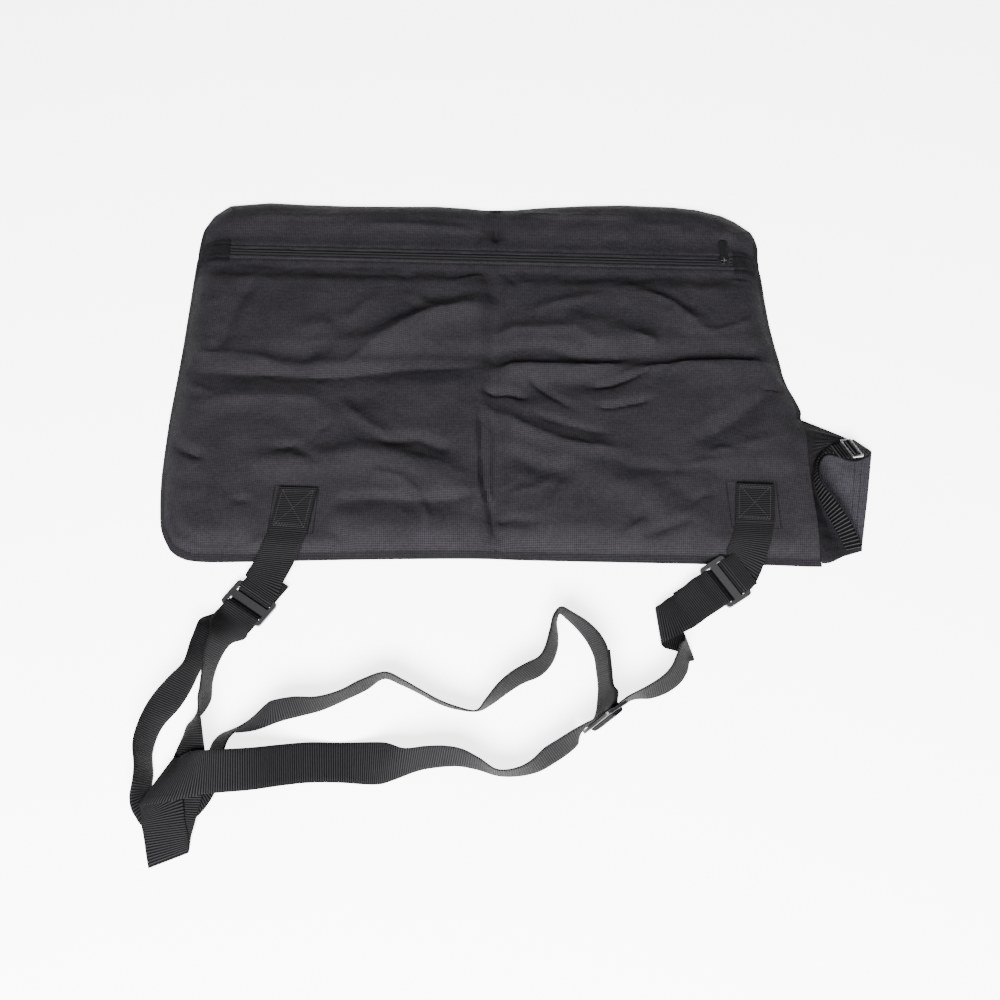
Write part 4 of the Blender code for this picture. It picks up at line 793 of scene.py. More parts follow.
def at_shares(chain, shares):
    """Points of a chain at shares of its length."""
    points = np.array(chain, float)
    spans = np.linalg.norm(np.diff(points, axis=0), axis=1)
    marks = np.concatenate(([0.0], np.cumsum(spans))) / spans.sum()
    return np.stack([np.interp(shares, marks, points[:, k]) for k in range(points.shape[1])], 1)


def x_on(chain, y):
    """X of a rising side chain at heights y."""
    points = np.array(chain, float)
    return np.interp(y, points[:, 1], points[:, 0])


def side_part(chain, low, high):
    """Part of a rising side chain between two heights."""
    rounded = rounded_chain(chain)
    points = [tuple(p) for p in rounded if low + 0.0004 < p[1] < high - 0.0004]
    first = (float(x_on(rounded, low)), low)
    last = (float(x_on(rounded, high)), high)
    return [first] + points + [last]


def zip_line(x, offset=0.0):
    """Y of a line along the zip."""
    return ZIP_Y + x * math.tan(ZIP_TILT) + offset


def segment_distance(x, y, a, b):
    """Distance to a segment, and the share of the way along it."""
    dx, dy = b[0] - a[0], b[1] - a[1]
    t = np.clip(((x - a[0]) * dx + (y - a[1]) * dy) / (dx * dx + dy * dy), 0.0, 1.0)
    return np.hypot(x - a[0] - t * dx, y - a[1] - t * dy), t


def edge_distance(x, y):
    """Distance to the sewn part of the outline."""
    away = np.full(np.shape(x), 9.0)
    for a, b in zip(SEALED, SEALED[1:]):
        away = np.minimum(away, segment_distance(x, y, a, b)[0])
    return away


def zip_rise(x, y):
    """Height of the flat strip under the zip, falling to the rim at both ends."""
    left, right = x_on(LEFT_EDGE, y), x_on(RIGHT_EDGE, y)
    share = np.minimum((x - left) / (ZIP_LEFT - left), (right - x) / (right - ZIP_RIGHT))
    return (ZIP_LEVEL - FABRIC - RIM) * np.sin(0.5 * math.pi * np.clip(share, 0.0, 1.0))


def tab_weights(x, y):
    """1 on the flat place of each strap tab, falling to 0 round it, for the left and the right."""
    for tx, ty in (TAB_LEFT, TAB_RIGHT):
        weight = 1.0 - ease((np.abs(x - tx) - TAB_FLAT) / TAB_FADE)
        yield weight * (1.0 - ease((np.abs(y - ty) - TAB_FLAT) / TAB_FADE))


def plain_height(x, y):
    """Underside of the front panel in the part's source, for arrays of x and y."""
    reach = edge_distance(x, y)
    roll = np.sin(0.5 * math.pi * np.minimum(reach / EDGE_ROLL, 1.0))
    crown = LOFT * mix(1.0, UPPER_LOFT, ease((y - zip_line(x)) / LOFT_STEP))
    ridge, hollow = np.zeros(np.shape(x)), np.zeros(np.shape(x))
    for x0, y0, x1, y1, height, half in BROAD_CREASES:
        away = segment_distance(x, y, (x0, y0), (x1, y1))[0]
        raised = height * (1.0 - ease(away / half))
        ridge, hollow = np.maximum(ridge, raised), np.minimum(hollow, raised)
    crown = crown + ridge + hollow
    crown = crown - FOLD_DEPTH * (1.0 - ease(np.abs(x - FOLD_X) / FOLD_HALF_WIDTH))
    crown = crown - 0.7 * FOLD_DEPTH * (1.0 - ease(np.abs(y - FOLD_Y) / FOLD_HALF_WIDTH))
    rise = roll * crown
    weight = 1.0 - ease((np.abs(y - zip_line(x)) - ZIP_FLAT) / ZIP_FADE)
    rise = mix(rise, zip_rise(x, y), weight)
    for weight in tab_weights(x, y):
        rise = mix(rise, TAB_LEVEL - FABRIC - RIM, weight * ease(reach / 0.018))
    return RIM + rise


def crease_heights(x, y):
    """Sum of the packing creases, each steep on one side and shallow on the other as it lies."""
    total = np.zeros(np.shape(x))
    for line, height, left_width, right_width, crisp in CREASES:
        points = [(px * 0.001, py * 0.001) for px, py in line]
        spans = [math.dist(a, b) for a, b in zip(points, points[1:])]
        length = sum(spans)
        away = np.full(np.shape(x), 9.0)
        side = np.zeros(np.shape(x))
        travelled = np.zeros(np.shape(x))
        before = 0.0
        for a, b, span in zip(points, points[1:], spans):
            distance, share = segment_distance(x, y, a, b)
            nearer = distance < away
            away = np.where(nearer, distance, away)
            turn = (b[0] - a[0]) * (y - a[1]) - (b[1] - a[1]) * (x - a[0])
            side = np.where(nearer, turn, side)
            travelled = np.where(nearer, before + share * span, travelled)
            before += span
        width = np.where(side > 0, left_width, right_width) * 0.001
        t = np.clip(away / width, 0.0, 1.0)
        profile = mix(1.0 - ease(t), (1.0 - t) ** 2, crisp)
        fade = CREASE_FADE * length + CREASE_END
        ends = ease((np.minimum(travelled, length - travelled) + 0.25 * fade) / fade)
        total = total + height * 0.001 * profile * ends
    return total


def crumple_heights(x, y):
    """Small uneven waves."""
    out = np.zeros(x.size)
    for k, (px, py) in enumerate(zip(x.ravel(), y.ravel())):
        broad = noise.noise(Vector((px * 15.0, py * 19.0, 3.1)))
        sharp = abs(noise.noise(Vector((px * 30.0 + 7.0, py * 34.0, 8.7))))
        small = noise.noise(Vector((px * 75.0, py * 80.0, 1.3)))
        out[k] = 1.1 * broad - 1.2 * (sharp - 0.25) + 0.30 * small
    return out.reshape(x.shape)


def edge_fullness(x, y, reach, offset):
    """Extra height that makes the rolled edge rounder away from the tabs, the zip and the neck."""
    plain = np.sin(0.5 * math.pi * np.minimum(reach / EDGE_ROLL, 1.0))
    full = np.sin(0.5 * math.pi * np.minimum(reach / FULL_ROLL, 1.0)) ** 0.9
    free = ease((np.abs(offset) - ZIP_FLAT) / ZIP_FADE)
    low = 1.0 - ease((y - BOTTOM - LOW_BAND) / GUARD_FADE)
    for tx, _ in (TAB_LEFT, TAB_RIGHT):
        free = free * (1.0 - low * (1.0 - ease((np.abs(x - tx) - TAB_GUARD) / GUARD_FADE)))
    beside = ease((x - RIGHT + NECK_GUARD) / GUARD_FADE)
    beside = beside * (1.0 - ease((y - NECK_TOP_Y - 0.010) / GUARD_FADE))
    crown = LOFT * mix(1.0, UPPER_LOFT, ease(offset / LOFT_STEP))
    return crown * (full - plain) * free * (1.0 - beside)


def lip_rise(offset, start):
    """Extra height of the fabric's folded lip beside the zip."""
    away = np.abs(offset)
    rise = LIP_RISE * (1.0 - ease((away - LIP_FLAT) / LIP_FADE))
    rise += LIP_BEAD * bead(away - start, 0.0016, 0.0016)
    rise -= LIP_BEAD * bead(away - start, LIP_STITCHES, 0.0011)
    return rise


def fabric_height(x, y):
    """Underside of the visible front fabric: the plain panel, creases, waves, welt and lips."""
    sizes = bpy.context.scene.bag_sizes
    height = plain_height(x, y)
    reach = edge_distance(x, y)
    offset = y - zip_line(x)
    calm = ease((np.abs(offset) - CALM_ZIP) / CALM_ZIP)
    calm = calm * (1.0 - np.maximum(*tab_weights(x, y))) * ease(reach / CALM_EDGE)
    neck = 1.0 - ease((x - RIGHT + CALM_NECK) / CALM_NECK)
    calm = calm * np.where(y < NECK_TOP_Y + 0.02, neck, 1.0)
    detail = sizes.crease_height * crease_heights(x, y) + sizes.crumple * crumple_heights(x, y)
    height = height + calm * detail + edge_fullness(x, y, reach, offset)
    welt = WELT * bead(reach, 0.0045, 0.0014)
    welt -= WELT * bead(reach, 0.0078, 0.0016)
    height = height + welt * ease((BOTTOM + 0.05 - y) / 0.02)
    height = height + lip_rise(offset, sizes.lip) * ease(reach / 0.02)
    return np.maximum(height, RIM)


def body_grid(bottom, top, left, right, us, vs):
    """Plane grid between four chains."""
    b, t = at_shares(bottom, us), at_shares(top, us)
    l, r = at_shares(left, vs), at_shares(right, vs)
    u, v = us[None, :, None], vs[:, None, None]
    ruled = mix(b[None], t[None], v) + mix(l[:, None], r[:, None], u)
    corner = mix(mix(b[0], b[-1], u), mix(t[0], t[-1], u), v)
    return ruled - corner


def in_runs(marks, counts):
    """Shares from mark to mark in three runs, each with its own number of points."""
    first, middle, last = (np.linspace(a, b, n) for a, b, n in zip(marks, marks[1:], counts))
    return np.concatenate((first[:-1], middle, last[1:]))


def lay_fabric(name, grid, height, thickness, finish):
    """Closed fabric sheet over a plane grid at a height."""
    x, y = grid[..., 0], grid[..., 1]
    z = height(x, y)
    under = np.stack((x, y, z), -1)
    over = np.stack((x, y, z + thickness), -1)
    return shell(name, under, over, finish)


def paint_rim_shade(item):
    """Give the faces along the sewn outline a darker copy of the fabric, as painted shade along the
    rim.
    """
    item.data.materials.append(finish_named("cover"))
    centres = np.zeros(3 * len(item.data.polygons))
    item.data.polygons.foreach_get("center", centres)
    reach = edge_distance(centres[0::3], centres[1::3])
    item.data.polygons.foreach_set("material_index", (reach < SHADED_RIM).astype(int))


def sheet_size(grid):
    """Width and length of a plane grid's own box, and its area."""
    low, high = grid.reshape(-1, 2).min(0), grid.reshape(-1, 2).max(0)
    a, b = grid[1:, 1:] - grid[:-1, :-1], grid[1:, :-1] - grid[:-1, 1:]
    area = 0.5 * np.abs(a[..., 0] * b[..., 1] - a[..., 1] * b[..., 0]).sum()
    return tuple(float(s) for s in high - low), float(area)


def declare_sheet(grid):
    """Work out how large the fabric was cut, its outline on the ground and a little for the folds;
    the sizes are not kept or returned.
    """
    (width, length), area = sheet_size(grid)
    width, length = width * FOLD_SLACK, length * FOLD_SLACK
    area = min(area * FOLD_SLACK**2, width * length)


# Fabric body


class BAG_OT_front_fabric(bpy.types.Operator):
    """Lay the creased front fabric below and above the zip."""

    bl_idname = "bag.front_fabric"
    bl_label = "Front fabric"

    def execute(self, context):
        lip = context.scene.bag_sizes.lip
        us = in_runs((0.0, 0.024, 0.976, 1.0), (9, 208, 9))
        x0, x1 = float(x_on(LEFT_EDGE, zip_line(LEFT))), float(x_on(RIGHT_EDGE, zip_line(RIGHT)))
        low = [(x, zip_line(x, -lip)) for x in (x0, x1)]
        high = [(x, zip_line(x, lip)) for x in (x0, x1)]
        left = side_part(LEFT_EDGE, BOTTOM_LEFT[1], low[0][1])
        right = side_part(RIGHT_EDGE, BOTTOM_RIGHT[1], low[1][1])
        left[0], right[0] = BOTTOM_LEFT, BOTTOM_RIGHT
        vs = in_runs((0.0, 0.038, 1.0 - 0.026 / 0.365, 1.0), (11, 126, 27))
        grid = body_grid(rounded_chain(BOTTOM_EDGE), [left[-1], right[-1]], left, right, us, vs)
        lower = lay_fabric("front_fabric_lower", grid, fabric_height, FABRIC, "fabric")
        paint_rim_shade(lower)
        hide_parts("front_panel_lower")
        declare_sheet(grid)
        left = side_part(LEFT_EDGE, high[0][1], TOP_LEFT[1])
        right = side_part(RIGHT_EDGE, high[1][1], TOP_RIGHT[1])
        left[-1], right[-1] = TOP_LEFT, TOP_RIGHT
        vs = in_runs((0.0, 0.026 / 0.08, 0.82, 1.0), (24, 20, 11))
        grid = body_grid([left[0], right[0]], rounded_chain(TOP_EDGE), left, right, us, vs)
        upper = lay_fabric("front_fabric_upper", grid, fabric_height, FABRIC, "fabric")
        paint_rim_shade(upper)
        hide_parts("front_panel_upper")
        declare_sheet(grid)
        return {"FINISHED"}


class BAG_OT_back_fabric(bpy.types.Operator):
    """Lay the back fabric flat under the bag."""

    bl_idname = "bag.back_fabric"
    bl_label = "Back fabric"

    def execute(self, context):
        sides = [side_part(edge, edge[0][1], edge[-1][1]) for edge in (LEFT_EDGE, RIGHT_EDGE)]
        sides[0][0], sides[0][-1] = BOTTOM_LEFT, TOP_LEFT
        sides[1][0], sides[1][-1] = BOTTOM_RIGHT, TOP_RIGHT
        us, vs = np.linspace(0.0, 1.0, 121), np.linspace(0.0, 1.0, 81)
        grid = body_grid(rounded_chain(BOTTOM_EDGE), rounded_chain(TOP_EDGE), *sides, us, vs)
        back = lay_fabric("back_fabric", grid, lambda x, y: np.zeros(x.shape), FABRIC, "fabric")
        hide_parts("back_panel")
        declare_sheet(grid)
        for name in ("tab_backing_left", "tab_backing_right"):
            refinish(name, "inner")
        return {"FINISHED"}


# Zip


def on_zip(x, offset, z):
    """Point at a place along and beside the zip."""
    turn = Vector((math.cos(ZIP_TILT), math.sin(ZIP_TILT), 0.0))
    side = Vector((-math.sin(ZIP_TILT), math.cos(ZIP_TILT), 0.0))
    return Vector((0.0, ZIP_Y, z)) + turn * x + side * offset


def coil_strip(name, side, shift, node_name):
    """One row of the coil: turns that bulge and narrow along the strip."""
    pitch = bpy.context.scene.bag_sizes.coil_pitch
    start, end = ZIP_LEFT + END_PATCH_LAP + 0.001, ZIP_RIGHT - END_PATCH_LAP - 0.001
    base = ZIP_LEVEL + 2.0 * GAP + ZIP_TAPE
    profile = [(0.0, 0.1), (0.0, 0.62), (0.22, 1.0), (0.62, 1.0), (1.0, 0.66), (1.0, 0.1)]
    steps = round((end - start) / (pitch / 6.0))
    verts = []
    for k in range(steps + 1):
        x = mix(start, end, k / steps)
        swell = 0.5 + 0.5 * math.cos(2.0 * math.pi * (x / pitch + shift))
        for across, up in profile:
            y = mix(COIL_INNER, COIL_OUTER, across) - 0.00025 * (1.0 - swell) * (across > 0.5)
            z = base + up * COIL_HEIGHT * (0.74 + 0.26 * swell)
            verts.append(on_zip(x, side * y, z))
    faces = end_faces(steps + 1, len(profile)) + ring_faces(steps + 1, len(profile))
    made = new_piece(name, verts, faces, "coil", smooth=60)
    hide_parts(node_name)


def cover_height(x, y):
    """Underside of an end cover: on the fabric, and level across the gap between its lips."""
    lip = bpy.context.scene.bag_sizes.lip + LIP_BEAD
    offset = y - zip_line(x)
    low = fabric_height(x, zip_line(x) + np.minimum(offset, -lip))
    high = fabric_height(x, zip_line(x) + np.maximum(offset, lip))
    share = np.clip((offset + lip) / (2.0 * lip), 0.0, 1.0)
    return mix(low, high, share) + FABRIC + GAP


class BAG_OT_zip(bpy.types.Operator):
    """Finish the zip: woven tapes, coils and the covers at both ends."""

    bl_idname = "bag.zip"
    bl_label = "Zip"

    def execute(self, context):
        for row, side, shift in (("lower", -1.0, 0.0), ("upper", 1.0, 0.5)):
            refinish("zip_tape_" + row, "tape")
            coil_strip("coil_" + row, side, shift, "zip_coil_" + row)
        for name, end, edge, turn in (
            ("left", ZIP_LEFT, LEFT_EDGE, 1.0),
            ("right", ZIP_RIGHT, RIGHT_EDGE, -1.0),
        ):
            outer = float(x_on(edge, zip_line(end))) + turn * 0.0022
            xs = np.linspace(outer, end + turn * END_PATCH_LAP, 36)
            offsets = np.linspace(-END_COVER_HALF, END_COVER_HALF, 34)
            ys = zip_line(xs)[None, :] + offsets[:, None]
            grid = np.stack((np.tile(xs, (len(offsets), 1)), ys), -1)
            cover = lay_fabric("zip_end_" + name, grid, cover_height, END_COVER, "cover")
            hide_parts("zip_end_patch_" + name)
            declare_sheet(grid)
        return {"FINISHED"}


class BAG_OT_slider(bpy.types.Operator):
    """Give the slider and its pull their enamel."""

    bl_idname = "bag.slider"
    bl_label = "Slider and pull"

    def execute(self, context):
        for name in ("zip_slider", "zip_pull"):
            refinish(name, "enamel")
        return {"FINISHED"}


# Stitching


def stitches(name, lines, size=1.0, finish="thread", thick=1.0):
    """Short thread stitches along lines of points, all in one piece."""
    sizes = bpy.context.scene.bag_sizes
    pitch, radius = sizes.stitch_pitch * size, 0.5 * thick * sizes.stitch_thickness
    verts, faces = [], []
    for line in lines:
        points = [Vector(p) for p in line]
        spans = [(b - a).length for a, b in zip(points, points[1:])]
        length = sum(spans)
        count = max(1, round(length / pitch))
        for k in range(count):
            centre, along = point_at(points, spans, (k + 0.5) * length / count)
            side = along.cross(Vector((0.0, 0.0, 1.0))).normalized()
            up = side.cross(along).normalized()
            half = 0.5 * STITCH_SHARE * length / count
            layout = len(STITCH_RINGS), STITCH_SIDES, len(verts)
            faces += ring_faces(*layout) + end_faces(*layout)
            for t, wide, rise in STITCH_RINGS:
                raised = radius * (rise + 1.0 - 2.0 * STITCH_SINK)
                middle = centre + along * (t * half) + up * raised
                for q in range(STITCH_SIDES):
                    angle = math.pi * q / 3.0
                    spoke = side * math.cos(angle) + up * math.sin(angle)
                    verts.append(middle + spoke * (radius * wide))
    return new_piece(name, verts, faces, finish)


def point_at(points, spans, distance):
    """Point and direction at a distance along a line of points."""
    for (a, b), span in zip(zip(points, points[1:]), spans):
        if distance <= span:
            return a.lerp(b, distance / span), (b - a).normalized()
        distance -= span
    return points[-1], (points[-1] - points[-2]).normalized()


def brought_up(points, height=fabric_height, thickness=FABRIC):
    """Plane points brought up onto a sheet, which is the front fabric unless another is given."""
    x, y = np.array([p[0] for p in points]), np.array([p[1] for p in points])
    z = height(x, y) + thickness
    return [(float(a), float(b), float(c)) for a, b, c in zip(x, y, z)]


def dense(points, step=0.003):
    """The line with points every few millimetres."""
    out = []
    for a, b in zip(points, points[1:]):
        count = max(1, round(math.dist(a, b) / step))
        out += [tuple(mix(p, q, k / count) for p, q in zip(a, b)) for k in range(count)]
    return out + [tuple(points[-1])]


def square(points):
    """The line closed to its first point."""
    return list(points) + [points[0]]


# Outlines sewn round the two tabs, in millimetres
PATCH_OUTLINES = (
    ((-202, -204), (-158, -206), (-155, -153), (-199, -151)),
    ((252, -199), (300, -200), (300, -146), (250, -146)),
)


class BAG_OT_body_stitching(bpy.types.Operator):
    """Sew the rows beside the zip, round its end covers and round the strap tabs."""

    bl_idname = "bag.body_stitching"
    bl_label = "Body stitching"

    def execute(self, context):
        lip = context.scene.bag_sizes.lip
        rows = []
        for offset in (-lip - LIP_STITCHES, lip + LIP_STITCHES):
            xs = np.linspace(ZIP_LEFT + END_PATCH_LAP, ZIP_RIGHT - END_PATCH_LAP, 260)
            rows.append(brought_up([(x, zip_line(x, offset)) for x in xs]))
        stitches("zip_stitching", rows)
        rows = []
        for end, edge, turn in ((ZIP_LEFT, LEFT_EDGE, 1.0), (ZIP_RIGHT, RIGHT_EDGE, -1.0)):
            outer = float(x_on(edge, zip_line(end))) + turn * 0.007
            inner = end + turn * (END_PATCH_LAP - 0.0018)
            half = END_STITCHES_HALF
            corners = [(outer, -half), (inner, -half), (inner, half), (outer, half)]
            plane = dense([(x, zip_line(x, o)) for x, o in square(corners)], STITCH_POINTS)
            rows.append(brought_up(plane, cover_height, END_COVER))
        stitches("zip_end_stitching", rows, 0.9)
        rows = []
        for corners in PATCH_OUTLINES:
            outline = square([(x * 0.001, y * 0.001) for x, y in corners])
            rows.append(brought_up(dense(outline)))
        stitches("patch_stitching", rows, 0.85, thick=1.7)
        return {"FINISHED"}


# Webbing


def mm(*values):
    """Millimetres as a vector in metres."""
    return Vector(values) * 0.001


def keys(*rows):
    """Rulings across the webbing: x, y, z of the near point, of the far point, and the kind."""
    return [(mm(*row[:3]), mm(*row[3:6]), row[6] if row[6:] else "laid") for row in rows]


def moved(rows, anchor):
    """Rulings shifted to an anchor point."""
    return [(near + anchor, far + anchor, kind) for near, far, kind in rows]


def frame_matrix(centre, u, v):
    """Placing matrix with local X along u, Y along v."""
    u = Vector(u).normalized()
    w = u.cross(Vector(v)).normalized()
    v = w.cross(u)
    turn = Matrix((u, v, w)).transposed().to_4x4()
    return Matrix.Translation(Vector(centre)) @ turn


LEFT_ANCHOR = Vector((*TAB_LEFT, 0.0))
RIGHT_ANCHOR = Vector((*TAB_RIGHT, 0.0))
LEFT_FRAME = frame_matrix(
    LEFT_ANCHOR + Vector((-0.036, -0.095, BUCKLE_LEVEL)),
    (math.cos(math.radians(-35.2)), math.sin(math.radians(-35.2)), 0.0),
    (0.576, 0.817, 0.0),
)
RIGHT_FRAME = frame_matrix(
    RIGHT_ANCHOR + Vector((-0.033, -0.0815, BUCKLE_LEVEL + 0.0018)),
    (math.cos(math.radians(-55.7)), math.sin(math.radians(-55.7)), -0.09),
    (0.826, 0.563, 0.0),
)
MIDDLE_FRAME = frame_matrix(
    LEFT_ANCHOR + Vector((0.299, -0.218, 0.0275)), (0.42, 0.05, 0.906), (0.715, 0.594, -0.365)
)
BAR_HALF = 0.5 * BUCKLE_THICKNESS
SLOT_INNER = 0.5 * BUCKLE_MIDDLE_BAR
SLOT_OUTER = SLOT_INNER + BUCKLE_SLOT
OVER_BAR = BAR_HALF + GAP + 0.5 * WEBBING
BESIDE = GAP + 0.5 * WEBBING
LOOP_INSIDE = SLOT_OUTER - BESIDE - SLOT_SLACK

# Shoulder strap: lower and upper edge of each ruling, in millimetres from a tab's middle, and
# "kept" where the ruling keeps its own width, as at a fold

# From the middle buckle to the turn at the far left
STRAP_OUT = keys(
    (296, -181, 0.8, 306, -190, 36),
    (295, -163, 0.8, 305, -173, 36),
    (293, -147, 0.8, 304, -156, 36),
    (286, -132, 0.8, 297, -141, 36),
    (277, -119, 0.8, 285, -128, 37),
    (268, -109, 0.8, 272, -119, 37),
    (261, -103, 0.8, 261, -113, 37),
    (258, -112, 0.8, 254, -121, 38),
    (259, -126, 0.8, 250, -136, 37),
    (258, -141, 0.8, 245, -153, 35),
    (252, -156, 0.8, 239, -163, 36),
    (242, -167, 0.8, 228, -169, 36),
    (225, -175, 0.8, 213, -179, 37),
    (210, -185, 0.8, 201, -191, 37),
    (197, -195, 0.8, 191, -205, 37),
    (184, -202, 0.8, 183, -215, 36),
    (163, -200, 0.8, 165, -212, 37),
    (146, -194, 0.8, 148, -205, 37),
    (128, -184, 0.8, 131, -195, 37),
    (112, -176, 0.8, 116, -186, 37),
    (96, -170, 0.8, 100, -179, 38),
    (80, -181, 0.8, 79, -186, 38),
    (61, -191, 0.8, 59, -197, 38),
    (40, -201, 0.8, 38, -203, 38),
    (20, -207, 0.8, 18, -203, 38),
    (0, -213, 0.8, 1, -206, 38),
    (-20, -221, 0.8, -6, -208, 34),
    (-36, -223, 0.8, -16, -219, 33),
    (-48, -223, 0.8, -27, -229, 32),
    (-57, -231, 0.8, -37, -240, 32),
    (-61, -244, 0.8, -42, -256, 29),
    (-68, -257, 0.8, -47, -277, 16),
    (-78, -269, 0.8, -64, -303, 4.5, "kept"),
    (-89, -279, 0.8, -87, -315, 2.6, "kept"),
    (-98, -284, 0.8, -106, -315, 3.2, "kept"),
    (-104, -284.5, 0.8, -116.5, -305, 11, "kept"),
    (-108.5, -279.5, 0.8, -120, -293, 26, "kept"),
)
# Up to the left buckle
STRAP_UP = keys(
    (-108, -274, 0.8, -117, -283, 37),
    (-108, -263, 0.8, -117, -268, 38),
    (-111, -242, 0.8, -121, -245, 38),
    (-106, -219, 0.8, -118, -223, 36),
    (-91, -198, 0.8, -110, -200, 34),
    (-83, -181, 0.8, -98, -184, 36),
    (-77, -163, 0.8, -85, -169, 38),
    (-69, -143, 0.8, -81, -148, 36),
    (-61, -132, 0.8, -77, -132, 31),
    (-49, -130, 1.2, -73, -116, 16),
)
# Back down, over itself, folded at the bottom and again to the right
STRAP_DOWN = keys(
    (-39, -130, 5, -65, -120, 23),
    (-50, -134.5, 1, -64, -138.5, 36),
    (-59, -150, 0.8, -67, -157, 37),
    (-64, -173, 0.8, -67, -179, 38),
    (-64, -192, 0.8, -67, -193, 38),
    (-71, -207, 2, -67, -206, 40),
    (-81, -216, 5, -63, -221, 39),
    (-84, -230, 9, -59, -240, 37),
    (-88, -245, 11, -57, -254, 31),
    (-93, -265, 9.5, -59, -270, 20),
    (-98, -285, 8.5, -60.5, -286, 10.5),
    (-102, -307, 7.6, -64.5, -309, 7.2),
    (-103, -327, 4.2, -67, -320, 4, "kept"),
    (-102, -345.5, 1.2, -68, -331.8, 1.2, "kept"),
    (-102, -347.5, 2.2, -68.2, -333.8, 2.2, "kept"),
    (-102.3, -345.5, 3.2, -68.5, -331.8, 3.2, "kept"),
    (-106, -327, 6.8, -70, -321, 7),
    (-110.5, -311, 9.8, -74, -305, 10.6),
    (-111.3, -304, 11.6, -78, -284, 13.4, "kept"),
    (-112.2, -299, 13.2, -84.3, -257, 15.6, "kept"),
    (-114.2, -295.4, 14.6, -86.6, -251.4, 17.2, "kept"),
    (-111.7, -296.4, 16.1, -83.8, -253.8, 18.8, "kept"),
    (-104, -296, 18, -78, -252.5, 24, "kept"),
    (-91, -295, 20.5, -71, -252, 31, "kept"),
    (-75, -293, 24, -64, -253, 37, "kept"),
)
# To the middle buckle
STRAP_BACK = keys(
    (-56, -291, 29, -55, -253, 40),
    (-37, -291, 35, -39, -253, 41),
    (-14, -287, 31, -17, -250, 35),
    (11, -278, 15, 8, -240, 17),
    (34, -272, 5, 31, -234, 6),
    (64, -271, 1.5, 62, -233, 2),
    (93, -271, 0.8, 95, -239, 15),
    (113, -266, 0.8, 118, -250, 34),
    (132, -259, 0.8, 138, -249, 37),
    (150, -256, 0.8, 155, -249, 38),
    (166, -255, 0.8, 170, -252, 38),
    (183, -258, 0.8, 185, -260, 38),
    (203, -264, 0.8, 202, -271, 38),
    (222, -264, 0.8, 220, -269, 38),
    (239, -260, 0.8, 232, -262, 38),
    (253, -252, 0.8, 243, -251, 37),
    (266, -243, 0.8, 255, -243, 37),
    (275, -235, 4, 268, -236, 41),
)
# From the middle buckle to the fold under the right end
STRAP_OVER = keys(
    (325, -193, 5, 322, -202, 41),
    (344, -189.5, 0.8, 338, -192, 38),
    (359, -184, 0.8, 351, -183, 38),
    (372, -174, 0.8, 360, -173, 36),
    (379, -163, 0.8, 365, -163, 35),
    (382, -153, 0.8, 370, -150, 36),
    (385, -152, 0.8, 376, -140, 20, "kept"),
    (386, -149.5, 0.8, 378, -128, 8, "kept"),
    (382, -145.5, 0.8, 375, -117, 3.6, "kept"),
    (371, -142.5, 1.2, 366, -107, 1.2, "kept"),
    (359.5, -139.5, 2.2, 356, -102, 2.2, "kept"),
    (356.5, -137.8, 5.5, 352.8, -100, 5.5, "kept"),
    (356.6, -137.2, 9.5, 352.9, -99.4, 9.5, "kept"),
    (360, -137, 12.5, 356, -99, 12.5, "kept"),
)
# Flat to the right buckle
STRAP_END = keys(
    (-78, -137, 13, -91, -101.5, 12.6, "kept"),
    (-66, -129.5, 11.5, -84.5, -97.5, 11.5),
)

# Tab straps: left and right edge, in millimetres from the tab's middle and above the ground
SEWN_LEVEL = 1000.0 * (TAB_LEVEL + SEWN_GAP + 0.5 * WEBBING)
LEFT_TAB = keys(
    (-14.5, 26.5, SEWN_LEVEL, 22.5, 26, SEWN_LEVEL),
    (-18, 4, SEWN_LEVEL, 19, 1, SEWN_LEVEL),
    (-21.5, -20, SEWN_LEVEL, 15.5, -24, SEWN_LEVEL),
    (-26, -33, SEWN_LEVEL, 11, -37, SEWN_LEVEL),
    (-32, -49, 13.6, 5, -53, 13.6),
    (-41, -66, 10.6, -6.5, -79, 10.6),
)
RIGHT_TAB = keys(
    (-15, 23, SEWN_LEVEL, 22, 21.5, SEWN_LEVEL),
    (-17.5, 2, SEWN_LEVEL, 20, 0.5, SEWN_LEVEL),
    (-19.5, -20, SEWN_LEVEL, 18, -21.5, SEWN_LEVEL),
    (-23.5, -36, SEWN_LEVEL, 14, -39, SEWN_LEVEL),
    (-28, -45, 15, 8.5, -56, 14, "kept"),
    (-30, -50.5, 11.6, 1.5, -73, 9, "kept"),
)


def in_frame(place, v, w):
    """Ruling across a buckle at local v and w."""
    near = place @ Vector((0.5 * WEBBING_WIDTH, v, w))
    far = place @ Vector((-0.5 * WEBBING_WIDTH, v, w))
    return near, far, "kept"


def side_loop(place, side, start, end, top_first=True, lift=0.0):
    """Rulings of webbing round a buckle's side bar, from one face to the other."""
    turn = 1.0 if top_first else -1.0
    path = [
        (start, OVER_BAR + lift),
        (0.5 * (start + SLOT_OUTER + 0.004), OVER_BAR + 0.3 * lift),
        (SLOT_OUTER + 0.004, OVER_BAR),
        (SLOT_OUTER, OVER_BAR),
        (LOOP_INSIDE + 0.0004, OVER_BAR - 0.0005),
        (LOOP_INSIDE, OVER_BAR - 0.0014),
        (LOOP_INSIDE, -OVER_BAR + 0.0014),
        (LOOP_INSIDE + 0.0004, -OVER_BAR + 0.0005),
        (SLOT_OUTER, -OVER_BAR),
        (SLOT_OUTER + 0.004, -OVER_BAR),
        (end, -OVER_BAR),
    ]
    return [in_frame(place, side * v, turn * w) for v, w in path]


def upright(v, w):
    """Ruling across the middle buckle, lower end first."""
    near, far, kind = in_frame(MIDDLE_FRAME, v * 0.001, w * 0.001)
    return far, near, kind


